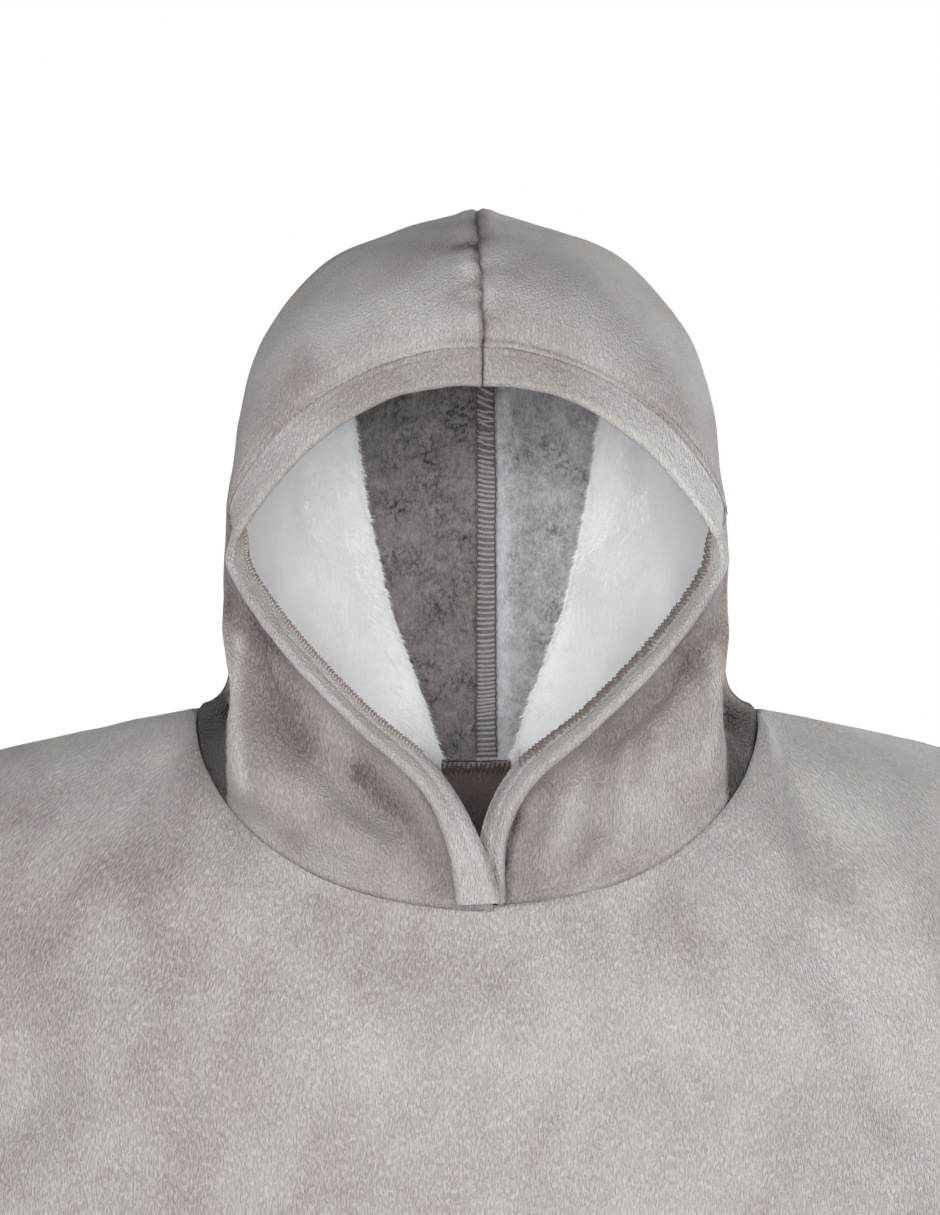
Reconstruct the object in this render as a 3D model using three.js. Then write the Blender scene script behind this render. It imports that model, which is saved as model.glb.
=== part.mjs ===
// Oversized pullover hoodie in thick short-pile fleece, filled out as if worn, with its arms held out.
// Millimetres, +Z up, the front faces -Y and the wearer's left is on +X. The origin lies midway between
// the two points where the neck seam crosses the shoulders, which is where the wearer carries the cloth.
import * as THREE from "three";

// Cloth and seams
const fleece = 2.0;
const liningGap = 0.4;
const backPile = 3.5;
const sidePile = 6.2;
const seamInset = 0.2;
const neckSeamInset = 0.7;
const hemThickness = 6.0;

// Neck seam, as a ring round the neck
const neck = { halfWidth: 160, dropFront: 108.5, dropBack: 38, reachFront: 120, reachBack: 86 };
const neckShare = 0.46; // share of each half panel's top edge that the neck seam takes

// Front and back panels
const armhole = { x: 430, height: 250, halfDepth: 58 };
const frontForm = { side: -1, shoulder: 134, underarm: 136, hem: 126 };
const backForm = { side: 1, shoulder: 108, underarm: 112, hem: 116 };
const hem = { z: -860, halfWidth: 446, dip: 14 };
const underarmHalfWidth = 430;
const shoulderSlope = { start: 0.19, bend: 0.0002 };

// Sleeves
const sleeve = { length: 360, drop: 0.31, cuffHeight: 112, cuffHalfDepth: 43, cuffTilt: 0.27 };

// Soft folds of a panel: centre line from (x1, z1) to (x2, z2), half width, and height out of the cloth
const frontFolds = [
  { x1: -190, z1: -22, x2: -168, z2: -70, width: 14, height: -5 },
  { x1: 165, z1: -35, x2: 205, z2: -82, width: 12, height: -6 },
  { x1: 150, z1: -90, x2: 215, z2: -150, width: 22, height: -5 },
  { x1: -300, z1: -120, x2: -130, z2: -150, width: 34, height: -6 },
  { x1: -405, z1: -310, x2: -250, z2: -215, width: 26, height: -13 },
  { x1: 405, z1: -310, x2: 245, z2: -225, width: 26, height: -13 },
  { x1: -385, z1: -360, x2: -330, z2: -860, width: 30, height: 15 },
  { x1: -275, z1: -420, x2: -255, z2: -860, width: 30, height: -15 },
  { x1: -165, z1: -520, x2: -175, z2: -860, width: 34, height: 13 },
  { x1: -50, z1: -560, x2: -70, z2: -860, width: 36, height: -13 },
  { x1: 45, z1: -500, x2: 50, z2: -860, width: 34, height: 13 },
  { x1: 150, z1: -480, x2: 165, z2: -860, width: 34, height: -15 },
  { x1: 260, z1: -440, x2: 275, z2: -860, width: 32, height: 14 },
  { x1: 350, z1: -370, x2: 370, z2: -860, width: 26, height: -13 },
];
const backFolds = [
  { x1: -400, z1: -305, x2: -240, z2: -190, width: 26, height: -12 },
  { x1: 400, z1: -305, x2: 250, z2: -200, width: 26, height: -12 },
  { x1: -360, z1: -380, x2: -340, z2: -860, width: 30, height: 14 },
  { x1: -250, z1: -360, x2: -240, z2: -860, width: 32, height: -15 },
  { x1: -130, z1: -300, x2: -135, z2: -860, width: 36, height: 15 },
  { x1: -15, z1: -340, x2: -20, z2: -860, width: 34, height: -15 },
  { x1: 95, z1: -310, x2: 100, z2: -860, width: 34, height: 15 },
  { x1: 210, z1: -380, x2: 220, z2: -860, width: 32, height: -15 },
  { x1: 330, z1: -400, x2: 345, z2: -860, width: 30, height: 14 },
];
// Rings of slack cloth round a sleeve: place along it (0 armhole, 1 cuff), half width, height, and where
// round the sleeve each is highest, in degrees from the top towards the front
const sleeveFolds = [
  { place: 0.2, width: 0.07, height: -9, peak: 150 },
  { place: 0.38, width: 0.06, height: 8, peak: 190 },
  { place: 0.56, width: 0.06, height: -8, peak: 120 },
  { place: 0.72, width: 0.05, height: 7, peak: 220 },
  { place: 0.86, width: 0.05, height: -6, peak: 150 },
];

// One half of the hood, from the neck seam up. Each row is a section that runs from the front edge, round
// the side and to the centre seam at the back. edge is the folded front edge, hem the stitch line where the
// turned hem joins the wall, side the widest point and back the point on the centre seam. square fills out
// the front corner of the section, and arch is 1 where the section climbs before it goes back.
const hoodSections = [
  { edge: [12.5, -134, -107], hem: [-9, -126, -106], side: [160, 0, 0], back: [86, -38], square: 0.4, arch: 0 },
  { edge: [19, -140, -71], hem: [1, -131, -71], side: [148, -10, 12], back: [101, -10], square: 0.42, arch: 0 },
  { edge: [35, -143, -41], hem: [26, -127, -33.5], side: [144, -18, 30], back: [109, 16], square: 0.46, arch: 0 },
  { edge: [71, -140, -8], hem: [64, -122, -1.5], side: [143, -26, 52], back: [117, 48], square: 0.55, arch: 0 },
  { edge: [108.5, -130, 31], hem: [101.5, -112, 38], side: [143, -31, 74], back: [125, 82], square: 0.7, arch: 0.1 },
  { edge: [137, -114, 71], hem: [129, -96, 75], side: [143.5, -34, 92], back: [131, 116], square: 0.85, arch: 0.3 },
  { edge: [141.5, -109, 90], hem: [135, -90, 96], side: [143, -34, 108], back: [134, 147], square: 1, arch: 0.5 },
  { edge: [129, -104, 111], hem: [138, -87, 120], side: [140, -30, 132], back: [133, 177], square: 1, arch: 0.75 },
  { edge: [97.5, -106, 145.5], hem: [108, -97, 160.5], side: [136, -14, 172], back: [127, 207], square: 1, arch: 1 },
  { edge: [59, -112, 172], hem: [67, -104, 188], side: [120.5, 2, 219], back: [114, 237], square: 1, arch: 1 },
  { edge: [24, -115, 181.5], hem: [26, -109, 201.5], side: [78, 12, 264.5], back: [98, 261], square: 1, arch: 1 },
  { edge: [0, -116, 182.5], hem: [0, -111, 203.5], side: [0, 16, 290.5], back: [80, 273], square: 1, arch: 1 },
];
// The wearer's right front edge lies over the left one at the neck. The left one's stitch line and folded
// edge lie this much further out there, and further back, up to where the two halves are alike.
const underlap = [
  { hem: 13, edge: 5, back: 19 },
  { hem: 3, edge: -1, back: 15 },
  { hem: -3, edge: -2, back: 9 },
  { hem: -1, edge: -1, back: 3 },
];
// Where the long white pile at the sides ends on the inside, as half widths from the centre seam
const pileBorder = [
  { z: -64, x: 13 },
  { z: -52, x: 17 },
  { z: 3, x: 36 },
  { z: 60, x: 59 },
  { z: 122, x: 73 },
  { z: 169, x: 80 },
  { z: 235, x: 88 },
];
// Folds of the hood wall, in shares of the way round (0 front, 1 back) and up (0 neck, 1 top)
const hoodFolds = [
  { x1: 0.06, z1: 0.06, x2: 0.1, z2: 0.36, width: 0.05, height: -9 },
  { x1: 0.31, z1: 0.03, x2: 0.31, z2: 0.3, width: 0.06, height: 8 },
  { x1: 0.43, z1: 0.03, x2: 0.42, z2: 0.22, width: 0.055, height: -8 },
  { x1: 0.62, z1: 0.12, x2: 0.8, z2: 0.3, width: 0.08, height: -6 },
];
const seamAllowance = { width: 13, thickness: 3, clearance: 1.6 };

const rightAngle = Math.PI / 2;
const mix = (a, b, t) => a + (b - a) * t;
const smooth = (t) => t * t * (3 - 2 * t);
const clamp01 = (t) => Math.min(1, Math.max(0, t));
const steps = (count, from = 0, to = 1) =>
  Array.from({ length: count + 1 }, (_, i) => mix(from, to, i / count));

// Height of a set of soft folds at a place: each is a bell across its line that fades towards its ends
function foldHeight(folds, x, z) {
  return folds.reduce((sum, f) => {
    const along = new THREE.Vector2(f.x2 - f.x1, f.z2 - f.z1);
    const t = ((x - f.x1) * along.x + (z - f.z1) * along.y) / along.lengthSq();
    const nearest = clamp01(t);
    const away = Math.hypot(x - mix(f.x1, f.x2, nearest), z - mix(f.z1, f.z2, nearest));
    return sum + f.height * Math.exp(-((away / f.width) ** 2)) * smooth(clamp01(nearest * 3 + 0.25));
  }, 0);
}

// A grid of places on the outer face of some cloth, with the way out at each. flat names the axis that the
// way out drops at each border, so that two pieces which meet there don't lean into each other.
function sheetGrid({ point, us, vs, outward, flat = {} }) {
  const places = vs.map((v) => us(v).map((u) => point(u, v)));
  const rows = places.length;
  const columns = places[0].length;
  const at = (i, j) => places[clampIndex(j, rows)][clampIndex(i, columns)];
  const normals = places.map((row, j) =>
    row.map((_, i) => {
      const across = at(i + 1, j).clone().sub(at(i - 1, j));
      const down = at(i, j + 1).clone().sub(at(i, j - 1));
      const n = across.cross(down).multiplyScalar(outward);
      const drop = (axis) => axis && (n[axis] = 0);
      if (i === 0) drop(setFor(flat.u0, vs[j]));
      if (i === columns - 1) drop(setFor(flat.u1, vs[j]));
      if (j === 0) drop(setFor(flat.v0, us(vs[j])[i]));
      if (j === rows - 1) drop(setFor(flat.v1, us(vs[j])[i]));
      return n.normalize();
    }),
  );
  return { places, normals, outward };
}

// A layer of cloth on a grid, between two depths below it and two of its columns. Each border is drawn
// back along the grid by its inset.
function layer(name, material, grid, { from = 0, to, outerDepth = 0, innerDepth, inset = {} }) {
  const end = to ?? grid.places[0].length - 1;
  const places = grid.places.map((row) => row.slice(from, end + 1));
  const normals = grid.normals.map((row) => row.slice(from, end + 1));
  const rows = places.length;
  const columns = places[0].length;
  const drawn = places.map((row, j) =>
    row.map((p, i) => {
      const moved = p.clone();
      const draw = (to, by) => moved.add(to.clone().sub(p).setLength(setFor(by, p) ?? seamInset));
      if (i === 0) draw(row[1], inset.u0);
      if (i === columns - 1) draw(row[columns - 2], inset.u1);
      if (j === 0) draw(places[1][i], inset.v0);
      if (j === rows - 1) draw(places[rows - 2][i], inset.v1);
      return moved;
    }),
  );
  const faceAt = (depth) =>
    drawn.flatMap((row, j) => row.map((p, i) => p.clone().addScaledVector(normals[j][i], -depth)));
  const below = rows * columns;
  const index = [];
  const quad = (a, b, c, d) =>
    grid.outward > 0 ? index.push(a, b, c, a, c, d) : index.push(a, c, b, a, d, c);
  for (let j = 0; j < rows - 1; j++) {
    for (let i = 0; i < columns - 1; i++) {
      const k = j * columns + i;
      quad(k, k + 1, k + columns + 1, k + columns);
      quad(below + k, below + k + columns, below + k + columns + 1, below + k + 1);
    }
  }
  const border = [
    ...Array.from({ length: columns - 1 }, (_, i) => i),
    ...Array.from({ length: rows - 1 }, (_, j) => j * columns + columns - 1),
    ...Array.from({ length: columns - 1 }, (_, i) => rows * columns - 1 - i),
    ...Array.from({ length: rows - 1 }, (_, j) => (rows - 1 - j) * columns),
  ];
  border.forEach((a, k) => {
    const b = border[(k + 1) % border.length];
    quad(a, below + a, below + b, b);
  });
  return solid(name, material, [...faceAt(outerDepth), ...faceAt(innerDepth)], index);
}

function clampIndex(i, count) {
  return Math.min(count - 1, Math.max(0, i));
}

// A setting that is either one value or differs from place to place
function setFor(setting, place) {
  return typeof setting === "function" ? setting(place) : setting;
}

// A closed mesh from shared points
function solid(name, material, points, index) {
  const geometry = new THREE.BufferGeometry().setFromPoints(points);
  geometry.setIndex(index);
  geometry.computeVertexNormals();
  const mesh = new THREE.Mesh(geometry, material);
  mesh.name = name;
  return mesh;
}

// A solid skinned over rings of points that all have the same count, capped at both ends or joined round
// the middle of a tube's wall
function skin(name, material, rings, { closed, outward }) {
  const count = rings[0].length;
  const index = [];
  const quad = (a, b, c, d) => (outward > 0 ? index.push(a, b, c, a, c, d) : index.push(a, c, b, a, d, c));
  const last = closed ? rings.length : rings.length - 1;
  for (let r = 0; r < last; r++) {
    const here = r * count;
    const next = ((r + 1) % rings.length) * count;
    for (let i = 0; i < count; i++) {
      const j = (i + 1) % count;
      quad(here + i, here + j, next + j, next + i);
    }
  }
  if (!closed) {
    const end = (rings.length - 1) * count;
    for (let i = 1; i < count - 1; i++) {
      outward > 0 ? index.push(0, i + 1, i) : index.push(0, i, i + 1);
      outward > 0 ? index.push(end, end + i, end + i + 1) : index.push(end, end + i + 1, end + i);
    }
  }
  return solid(name, material, rings.flat(), index);
}

// Height of the shoulder seam at a distance from the centre
function shoulderLine(x) {
  const out = Math.abs(x) - neck.halfWidth;
  return -shoulderSlope.start * out - shoulderSlope.bend * out * Math.abs(out);
}

// A point of the neck seam, by its angle round the neck: 0 at the centre, a right angle at the shoulder
function neckSeam(angle, side) {
  const drop = side < 0 ? neck.dropFront : neck.dropBack;
  const reach = side < 0 ? neck.reachFront : neck.reachBack;
  const c = Math.max(0, Math.cos(angle));
  return new THREE.Vector3(neck.halfWidth * Math.sin(angle), side * reach * c ** 0.4, -drop * c);
}

// A point of the front or back panel. s runs across it from side seam to side seam, and level down it:
// 0 the neck and shoulder seams, 1 the widest level of the armhole, 2 the underarm and 3 the hem.
function panelPoint(form, folds, s, level) {
  const share = Math.abs(s);
  const hand = Math.sign(s) || 1;
  const frontLevel = shoulderLine(armhole.x) - armhole.height / 2;
  const underarmLevel = shoulderLine(armhole.x) - armhole.height;
  const turn = rightAngle * (0.6 * share + 0.4 * share ** 3);

  const onNeck = share <= neckShare;
  const top = onNeck
    ? neckSeam(rightAngle * (share / neckShare), form.side)
    : new THREE.Vector3(mix(neck.halfWidth, armhole.x, (share - neckShare) / (1 - neckShare)), 0, 0);
  if (!onNeck) top.z = shoulderLine(top.x);
  const widest = new THREE.Vector3(
    armhole.x * share,
    form.side * mix(form.shoulder, armhole.halfDepth, share ** 2.2),
    frontLevel,
  );
  const underarm = new THREE.Vector3(
    underarmHalfWidth * Math.sin(turn),
    form.side * form.underarm * Math.cos(turn),
    underarmLevel,
  );
  const bottom = new THREE.Vector3(
    hem.halfWidth * Math.sin(turn),
    form.side * form.hem * Math.cos(turn),
    hem.z - hem.dip * Math.cos(turn),
  );

  const p = new THREE.Vector3();
  if (level <= 1) {
    const angle = rightAngle * level;
    const round = smooth(clamp01(share / neckShare));
    p.x = mix(top.x, widest.x, level);
    p.y = mix(top.y, widest.y, mix(smooth(level), Math.sin(angle), round));
    p.z = mix(top.z, widest.z, mix(level, 1 - Math.cos(angle), round));
  } else if (level <= 2) {
    const t = level - 1;
    const angle = rightAngle * t;
    const round = smooth(clamp01((share - 0.75) / 0.25));
    p.x = mix(widest.x, underarm.x, t);
    p.y = mix(widest.y, underarm.y, mix(smooth(t), 1 - Math.cos(angle), round));
    p.z = mix(widest.z, underarm.z, mix(t, Math.sin(angle), round));
  } else {
    p.lerpVectors(underarm, bottom, level - 2);
  }
  p.x *= hand;
  const fade = smooth(clamp01((1 - share) / 0.12)) * smooth(clamp01(level / 0.25));
  p.y += form.side * fade * foldHeight(folds, p.x, p.z);
  return p;
}

function panel(name, material, form, folds) {
  const neckSide = steps(7, 0, neckShare);
  const shoulderSide = steps(5, neckShare, 1).slice(1);
  const half = [...neckSide, ...shoulderSide];
  const us = [...half.slice(1).reverse().map((s) => -s), ...half];
  const grid = sheetGrid({
    point: (s, level) => panelPoint(form, folds, s, level),
    us: () => us,
    vs: [...steps(5, 0, 1), ...steps(3, 1, 2).slice(1), ...steps(7, 2, 3).slice(1)],
    outward: form.side,
    flat: {
      v0: (s) => (Math.abs(s) >= neckShare ? "y" : undefined),
      u0: (level) => (level < 2 ? "x" : "y"),
      u1: (level) => (level < 2 ? "x" : "y"),
    },
  });
  return layer(name, material, grid, {
    innerDepth: fleece,
    inset: { v0: (p) => (Math.abs(p.x) <= neck.halfWidth + 1 ? neckSeamInset : seamInset) },
  });
}

// A ring of the sleeve: place runs from the armhole (0) to the cuff (1)
function sleeveRing(place, count, hand, depth) {
  const height = mix(armhole.height, sleeve.cuffHeight, smooth(place) * 0.4 + place * 0.6);
  const halfDepth = mix(armhole.halfDepth, sleeve.cuffHalfDepth, place) - depth;
  const top = shoulderLine(armhole.x) - sleeve.drop * sleeve.length * place;
  const centre = new THREE.Vector3(armhole.x + sleeve.length * place, 0, top - height / 2);
  const tilt = sleeve.cuffTilt * place;
  return steps(count - 1, 0, (count - 1) / count).map((share) => {
    const angle = 2 * Math.PI * share;
    const slack = sleeveFolds.reduce((sum, f) => {
      const bell = Math.exp(-(((place - f.place) / f.width) ** 2));
      const around = 0.5 + 0.5 * Math.cos(angle - THREE.MathUtils.degToRad(f.peak));
      return sum + f.height * bell * around;
    }, 0);
    const up = (height / 2 - depth + slack) * Math.cos(angle);
    const out = (halfDepth + slack) * Math.sin(angle);
    return new THREE.Vector3(hand * (centre.x + up * Math.sin(tilt)), -out, centre.z + up * Math.cos(tilt));
  });
}

function sleeveTube(name, material, hand) {
  const places = steps(10, seamInset / sleeve.length, 1);
  const count = 20;
  const outer = places.map((place) => sleeveRing(place, count, hand, 0));
  const inner = places.map((place) => sleeveRing(place, count, hand, fleece)).reverse();
  return skin(name, material, [...outer, ...inner], { closed: true, outward: hand });
}

// A section of one half of the hood. hand is -1 for the half on the wearer's right and 1 on the left.
function hoodSection(k, hand) {
  const section = hoodSections[k];
  const lap = (hand > 0 && underlap[k]) || { hem: 0, edge: 0, back: 0 };
  const lapped = ([x, y, z], out) => new THREE.Vector3(x + out, y + lap.back, z);
  return {
    ...section,
    hem: lapped(section.hem, lap.hem),
    edge: lapped(section.edge, lap.edge),
    side: new THREE.Vector3(...section.side),
  };
}

// A point of a section, u from the stitch line of the front hem (0) by the side (0.5) to the back (1)
function sectionPoint(row, k, u) {
  if (k === 0 && u < 0.5) {
    const seam = neckSeam(rightAngle * 2 * u, -1);
    const start = row.hem;
    const ease = (1 - clamp01(u / 0.2)) ** 2;
    seam.x += ease * start.x;
    seam.y += ease * (start.y + neck.reachFront);
    return seam;
  }
  if (k === 0) return neckSeam(Math.PI * (1 - u), 1);
  const { hem: from, side, square, arch } = row;
  if (u < 0.5) {
    const angle = rightAngle * 2 * u;
    const out = Math.sin(angle) ** mix(0.55, 1, square);
    const back = 1 - Math.cos(angle) ** square;
    const rise = mix(1 - Math.cos(angle), Math.sin(angle), arch);
    return new THREE.Vector3(mix(from.x, side.x, out), mix(from.y, side.y, back), mix(from.z, side.z, rise));
  }
  const angle = rightAngle * (2 * u - 1);
  return new THREE.Vector3(
    side.x * Math.cos(angle) ** 0.9,
    mix(side.y, row.back[0], Math.sin(angle)),
    mix(side.z, row.back[1], 1 - Math.cos(angle)),
  );
}

// Values at whole steps joined by a smooth curve through all of them
function throughPoints(points, v) {
  const at = v * (points.length - 1);
  const k = Math.min(points.length - 2, Math.floor(at));
  const t = at - k;
  const [p0, p1, p2, p3] = [k - 1, k, k + 1, k + 2].map((i) => points[clampIndex(i, points.length)]);
  const value = (a, b, c, d) =>
    0.5 * (2 * b + (c - a) * t + (2 * a - 5 * b + 4 * c - d) * t * t + (3 * b - a - 3 * c + d) * t ** 3);
  return new THREE.Vector3(
    value(p0.x, p1.x, p2.x, p3.x),
    value(p0.y, p1.y, p2.y, p3.y),
    value(p0.z, p1.z, p2.z, p3.z),
  );
}

// The hood half as a surface: its outer face, the stitch line of its front hem and its folded edge
function hoodHalf(hand) {
  const rows = hoodSections.map((_, k) => hoodSection(k, hand));
  const bare = (u, v) => throughPoints(rows.map((row, k) => sectionPoint(row, k, u)), v);
  const point = (u, v) => {
    const p = bare(u, v);
    const height = foldHeight(hoodFolds, u, v) * smooth(clamp01(v / 0.08)) * smooth(clamp01(u / 0.05));
    const out = new THREE.Vector3(p.x, p.y - 10, 0).normalize();
    return mirrored(p.addScaledVector(out, height), hand);
  };
  const stitchLine = (v) => mirrored(throughPoints(rows.map((row) => row.hem), v), hand);
  const foldedEdge = (v) => mirrored(throughPoints(rows.map((row) => row.edge), v), hand);
  return { hand, point, stitchLine, foldedEdge };
}

function mirrored(p, hand) {
  p.x *= hand;
  return p;
}

// How far round the section the long pile at the side ends
function pileEnd(half, v) {
  const borderAt = (z) => {
    const k = clampIndex(pileBorder.findIndex((b) => b.z > z), pileBorder.length);
    const next = pileBorder[Math.max(1, z > pileBorder.at(-1).z ? pileBorder.length - 1 : k)];
    const last = pileBorder[pileBorder.indexOf(next) - 1];
    return mix(last.x, next.x, clamp01((z - last.z) / (next.z - last.z)));
  };
  let low = 0.55;
  let high = 0.97;
  for (let i = 0; i < 24; i++) {
    const u = (low + high) / 2;
    const p = half.point(u, v);
    if (Math.abs(p.x) > borderAt(p.z)) low = u;
    else high = u;
  }
  return low;
}

// The turned hem of the hood's front edge: a thick strip with a round fold, as stations up the edge
function hoodHem(name, material, half) {
  const count = 22;
  const low = 0.006;
  const rings = steps(count, low, 1).map((v) => {
    const base = half.stitchLine(v);
    const edge = half.foldedEdge(v);
    const step = 0.01;
    const next = Math.min(1, v + step);
    const last = Math.max(0, v - step);
    const along = half.stitchLine(next).sub(half.stitchLine(last));
    along.add(half.foldedEdge(next).sub(half.foldedEdge(last)));
    if (v === 1) along.set(-half.hand, 0, 0);
    const reach = edge.clone().sub(base);
    const width = reach.length();
    reach.normalize();
    const inward = new THREE.Vector3().crossVectors(reach, along).multiplyScalar(half.hand).normalize();
    const radius = hemThickness / 2;
    const outline = [
      [0.4, 0.4],
      [width / 2, 0],
      [width - radius, 0],
      [width - radius * 0.3, radius * 0.3],
      [width, radius],
      [width - radius * 0.3, radius * 1.7],
      [width - radius, hemThickness],
      [width / 2, hemThickness],
      [3, hemThickness],
    ];
    return outline.map(([out, inside]) => {
      const p = base.clone().addScaledVector(reach, out).addScaledVector(inward, inside);
      if (v === 1) p.x = half.hand * seamInset;
      return p;
    });
  });
  return skin(name, material, rings, { closed: false, outward: -half.hand });
}

const pileColumns = 8; // columns of the hood's grid under the long white pile
const hoodColumns = 12;

// The grid that the hood's wall and its linings are made on, with one column where the pile changes
function hoodGrid(half) {
  return sheetGrid({
    point: half.point,
    us: (v) => {
      const border = pileEnd(half, v);
      return [...steps(pileColumns, 0, border), ...steps(hoodColumns - pileColumns, border, 1).slice(1)];
    },
    vs: steps(18),
    outward: half.hand,
    flat: { u1: "x", v1: "x" },
  });
}

function lining(name, material, grid, { from, to, pile, inset }) {
  return layer(name, material, grid, {
    from,
    to,
    outerDepth: fleece + liningGap,
    innerDepth: fleece + liningGap + pile,
    inset: { v0: neckSeamInset, ...inset },
  });
}

// The centre seam's allowance, overlocked and laid to one side on the linings, from the nape to the front
function seamStrip(name, material, grid) {
  const { places, normals } = grid;
  const last = places.length - 1;
  const upBack = places.slice(0, last - 1).map((_, k) => ({
    on: [k, hoodColumns],
    beside: [k, hoodColumns - 1],
    pile: backPile,
  }));
  const overTop = Array.from({ length: hoodColumns - 2 }, (_, k) => hoodColumns - 1 - k).map((i) => ({
    on: [last, i],
    beside: [last - 1, i],
    pile: i > pileColumns ? backPile : sidePile,
  }));
  const rings = [...upBack, ...overTop].map(({ on, beside, pile }) => {
    const p = places[on[0]][on[1]];
    const q = places[beside[0]][beside[1]];
    const m = normals[on[0]][on[1]];
    const n = normals[beside[0]][beside[1]];
    const depth = fleece + liningGap + pile + seamAllowance.clearance;
    const corner = (out, deep) => {
      const share = out / p.distanceTo(q);
      return p.clone().lerp(q, share).addScaledVector(m.clone().lerp(n, share).normalize(), -depth - deep);
    };
    const { width, thickness } = seamAllowance;
    return [
      corner(0.4, 0),
      corner(width, 0),
      corner(width, thickness),
      corner(0.4, thickness),
    ];
  });
  return skin(name, material, rings, { closed: false, outward: -grid.outward });
}

const cloth = (color, roughness) => new THREE.MeshStandardMaterial({ color, roughness, metalness: 0 });
const outerFleece = () => cloth(0xb0a8a4, 0.85);
const whitePile = () => cloth(0xeceff0, 0.95);
const greyPile = () => cloth(0xa8a4a2, 0.95);

const hoodie = new THREE.Group();
hoodie.name = "hoodie";

const body = new THREE.Group();
body.add(panel("front", outerFleece(), frontForm, frontFolds));
body.add(panel("back", outerFleece(), backForm, backFolds));
body.add(sleeveTube("sleeve_right", outerFleece(), -1));
body.add(sleeveTube("sleeve_left", outerFleece(), 1));
hoodie.add(body);

const hood = new THREE.Group();
for (const [side, hand] of [["right", -1], ["left", 1]]) {
  const half = hoodHalf(hand);
  const grid = hoodGrid(half);
  hood.add(
    layer(`hood_${side}`, outerFleece(), grid, {
      innerDepth: fleece,
      inset: { v0: neckSeamInset, u0: 1 },
    }),
  );
  hood.add(hoodHem(`hood_hem_${side}`, outerFleece(), half));
  hood.add(
    lining(`lining_side_${side}`, whitePile(), grid, {
      from: 0,
      to: pileColumns,
      pile: sidePile,
      inset: { u0: 1.2, u1: 0.3 },
    }),
  );
  hood.add(
    lining(`lining_back_${side}`, greyPile(), grid, {
      from: pileColumns,
      pile: backPile,
      inset: { u0: 0.3 },
    }),
  );
  if (hand > 0) hood.add(seamStrip("hood_seam_allowance", outerFleece(), grid));
}
hoodie.add(hood);

export default hoodie;
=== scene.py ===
import math
import random

import bmesh
import bpy
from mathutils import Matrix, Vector, noise


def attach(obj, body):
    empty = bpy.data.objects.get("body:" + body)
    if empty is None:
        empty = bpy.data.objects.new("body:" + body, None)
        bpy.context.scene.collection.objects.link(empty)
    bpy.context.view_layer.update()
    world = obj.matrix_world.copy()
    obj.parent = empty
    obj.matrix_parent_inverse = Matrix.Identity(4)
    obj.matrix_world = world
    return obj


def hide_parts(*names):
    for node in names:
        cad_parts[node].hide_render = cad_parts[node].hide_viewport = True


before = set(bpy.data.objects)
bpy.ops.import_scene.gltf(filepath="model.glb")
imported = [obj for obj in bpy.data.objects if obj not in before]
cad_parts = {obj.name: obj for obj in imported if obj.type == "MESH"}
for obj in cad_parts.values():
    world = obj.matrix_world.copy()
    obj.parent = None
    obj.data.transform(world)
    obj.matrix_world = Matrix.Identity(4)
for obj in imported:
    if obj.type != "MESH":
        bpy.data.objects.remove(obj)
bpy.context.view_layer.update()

mm = 0.001
rightAngle = math.pi / 2


def mix(a, b, t):
    return a + (b - a) * t


def clamp01(t):
    return min(1.0, max(0.0, t))


def smooth(t):
    return t * t * (3 - 2 * t)


# From 0 to 1, level at both ends and beyond them
def ease(t):
    return smooth(clamp01(t))


def bell(away, width):
    return math.exp(-((away / width) ** 2))


# Camera, light and floor
studio = {
    "camera": (-4, -3200, 58),
    "lens": 163.47,
    "sensor": 36,
    "floorHeight": -876,
    "floorRadius": 2600,
    "ambient": 0.17,
    "lamps": [  # name, place, aim, width, height, watts, colour
        ("front", (0, -3500, 230), (0, 0, -50), 2500, 1300, 122, (1, 0.995, 0.99)),
        ("behind", (2000, 2400, 1200), (0, 0, -300), 1300, 1300, 105, (1, 1, 1)),
        ("leftBack", (-2700, 900, 600), (0, 0, -200), 1600, 2000, 24, (1, 1, 1)),
    ],
}


def setUpStudio():
    scene = bpy.context.scene
    scene.view_settings.view_transform = "Standard"
    camera = bpy.data.objects.new("camera", bpy.data.cameras.new("camera"))
    scene.collection.objects.link(camera)
    camera.location = Vector(studio["camera"]) * mm
    camera.rotation_euler = (rightAngle, 0, 0)
    camera.data.sensor_width = studio["sensor"]
    camera.data.lens = studio["lens"]
    camera.data.clip_end = 50
    scene.camera = camera

    world = bpy.data.worlds.new("paleRoom")
    scene.world = world
    world.use_nodes = True
    world.node_tree.nodes.clear()
    tree = Tree(world.node_tree)
    light = {"Color": (0.97, 0.985, 1, 1), "Strength": studio["ambient"]}
    blend = tree.fill(tree.add("ShaderNodeMixShader"), {
        "Fac": tree.add("ShaderNodeLightPath").outputs["Is Camera Ray"],
        1: tree.fill(tree.add("ShaderNodeBackground"), light).outputs[0],
        2: tree.fill(tree.add("ShaderNodeBackground"), {"Color": (1, 1, 1, 1)}).outputs[0],
    })
    tree.fill(tree.add("ShaderNodeOutputWorld"), {"Surface": blend.outputs[0]})

    for name, place, aim, width, height, watts, colour in studio["lamps"]:
        lamp = bpy.data.lights.new(name, "AREA")
        lamp.shape = "RECTANGLE"
        lamp.size, lamp.size_y = width * mm, height * mm
        lamp.energy = watts
        lamp.color = colour
        lampObject = bpy.data.objects.new(name, lamp)
        scene.collection.objects.link(lampObject)
        lampObject.location = Vector(place) * mm
        towards = Vector(aim) - Vector(place)
        lampObject.rotation_euler = towards.to_track_quat("-Z", "Y").to_euler()
    print("studio ready")


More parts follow.
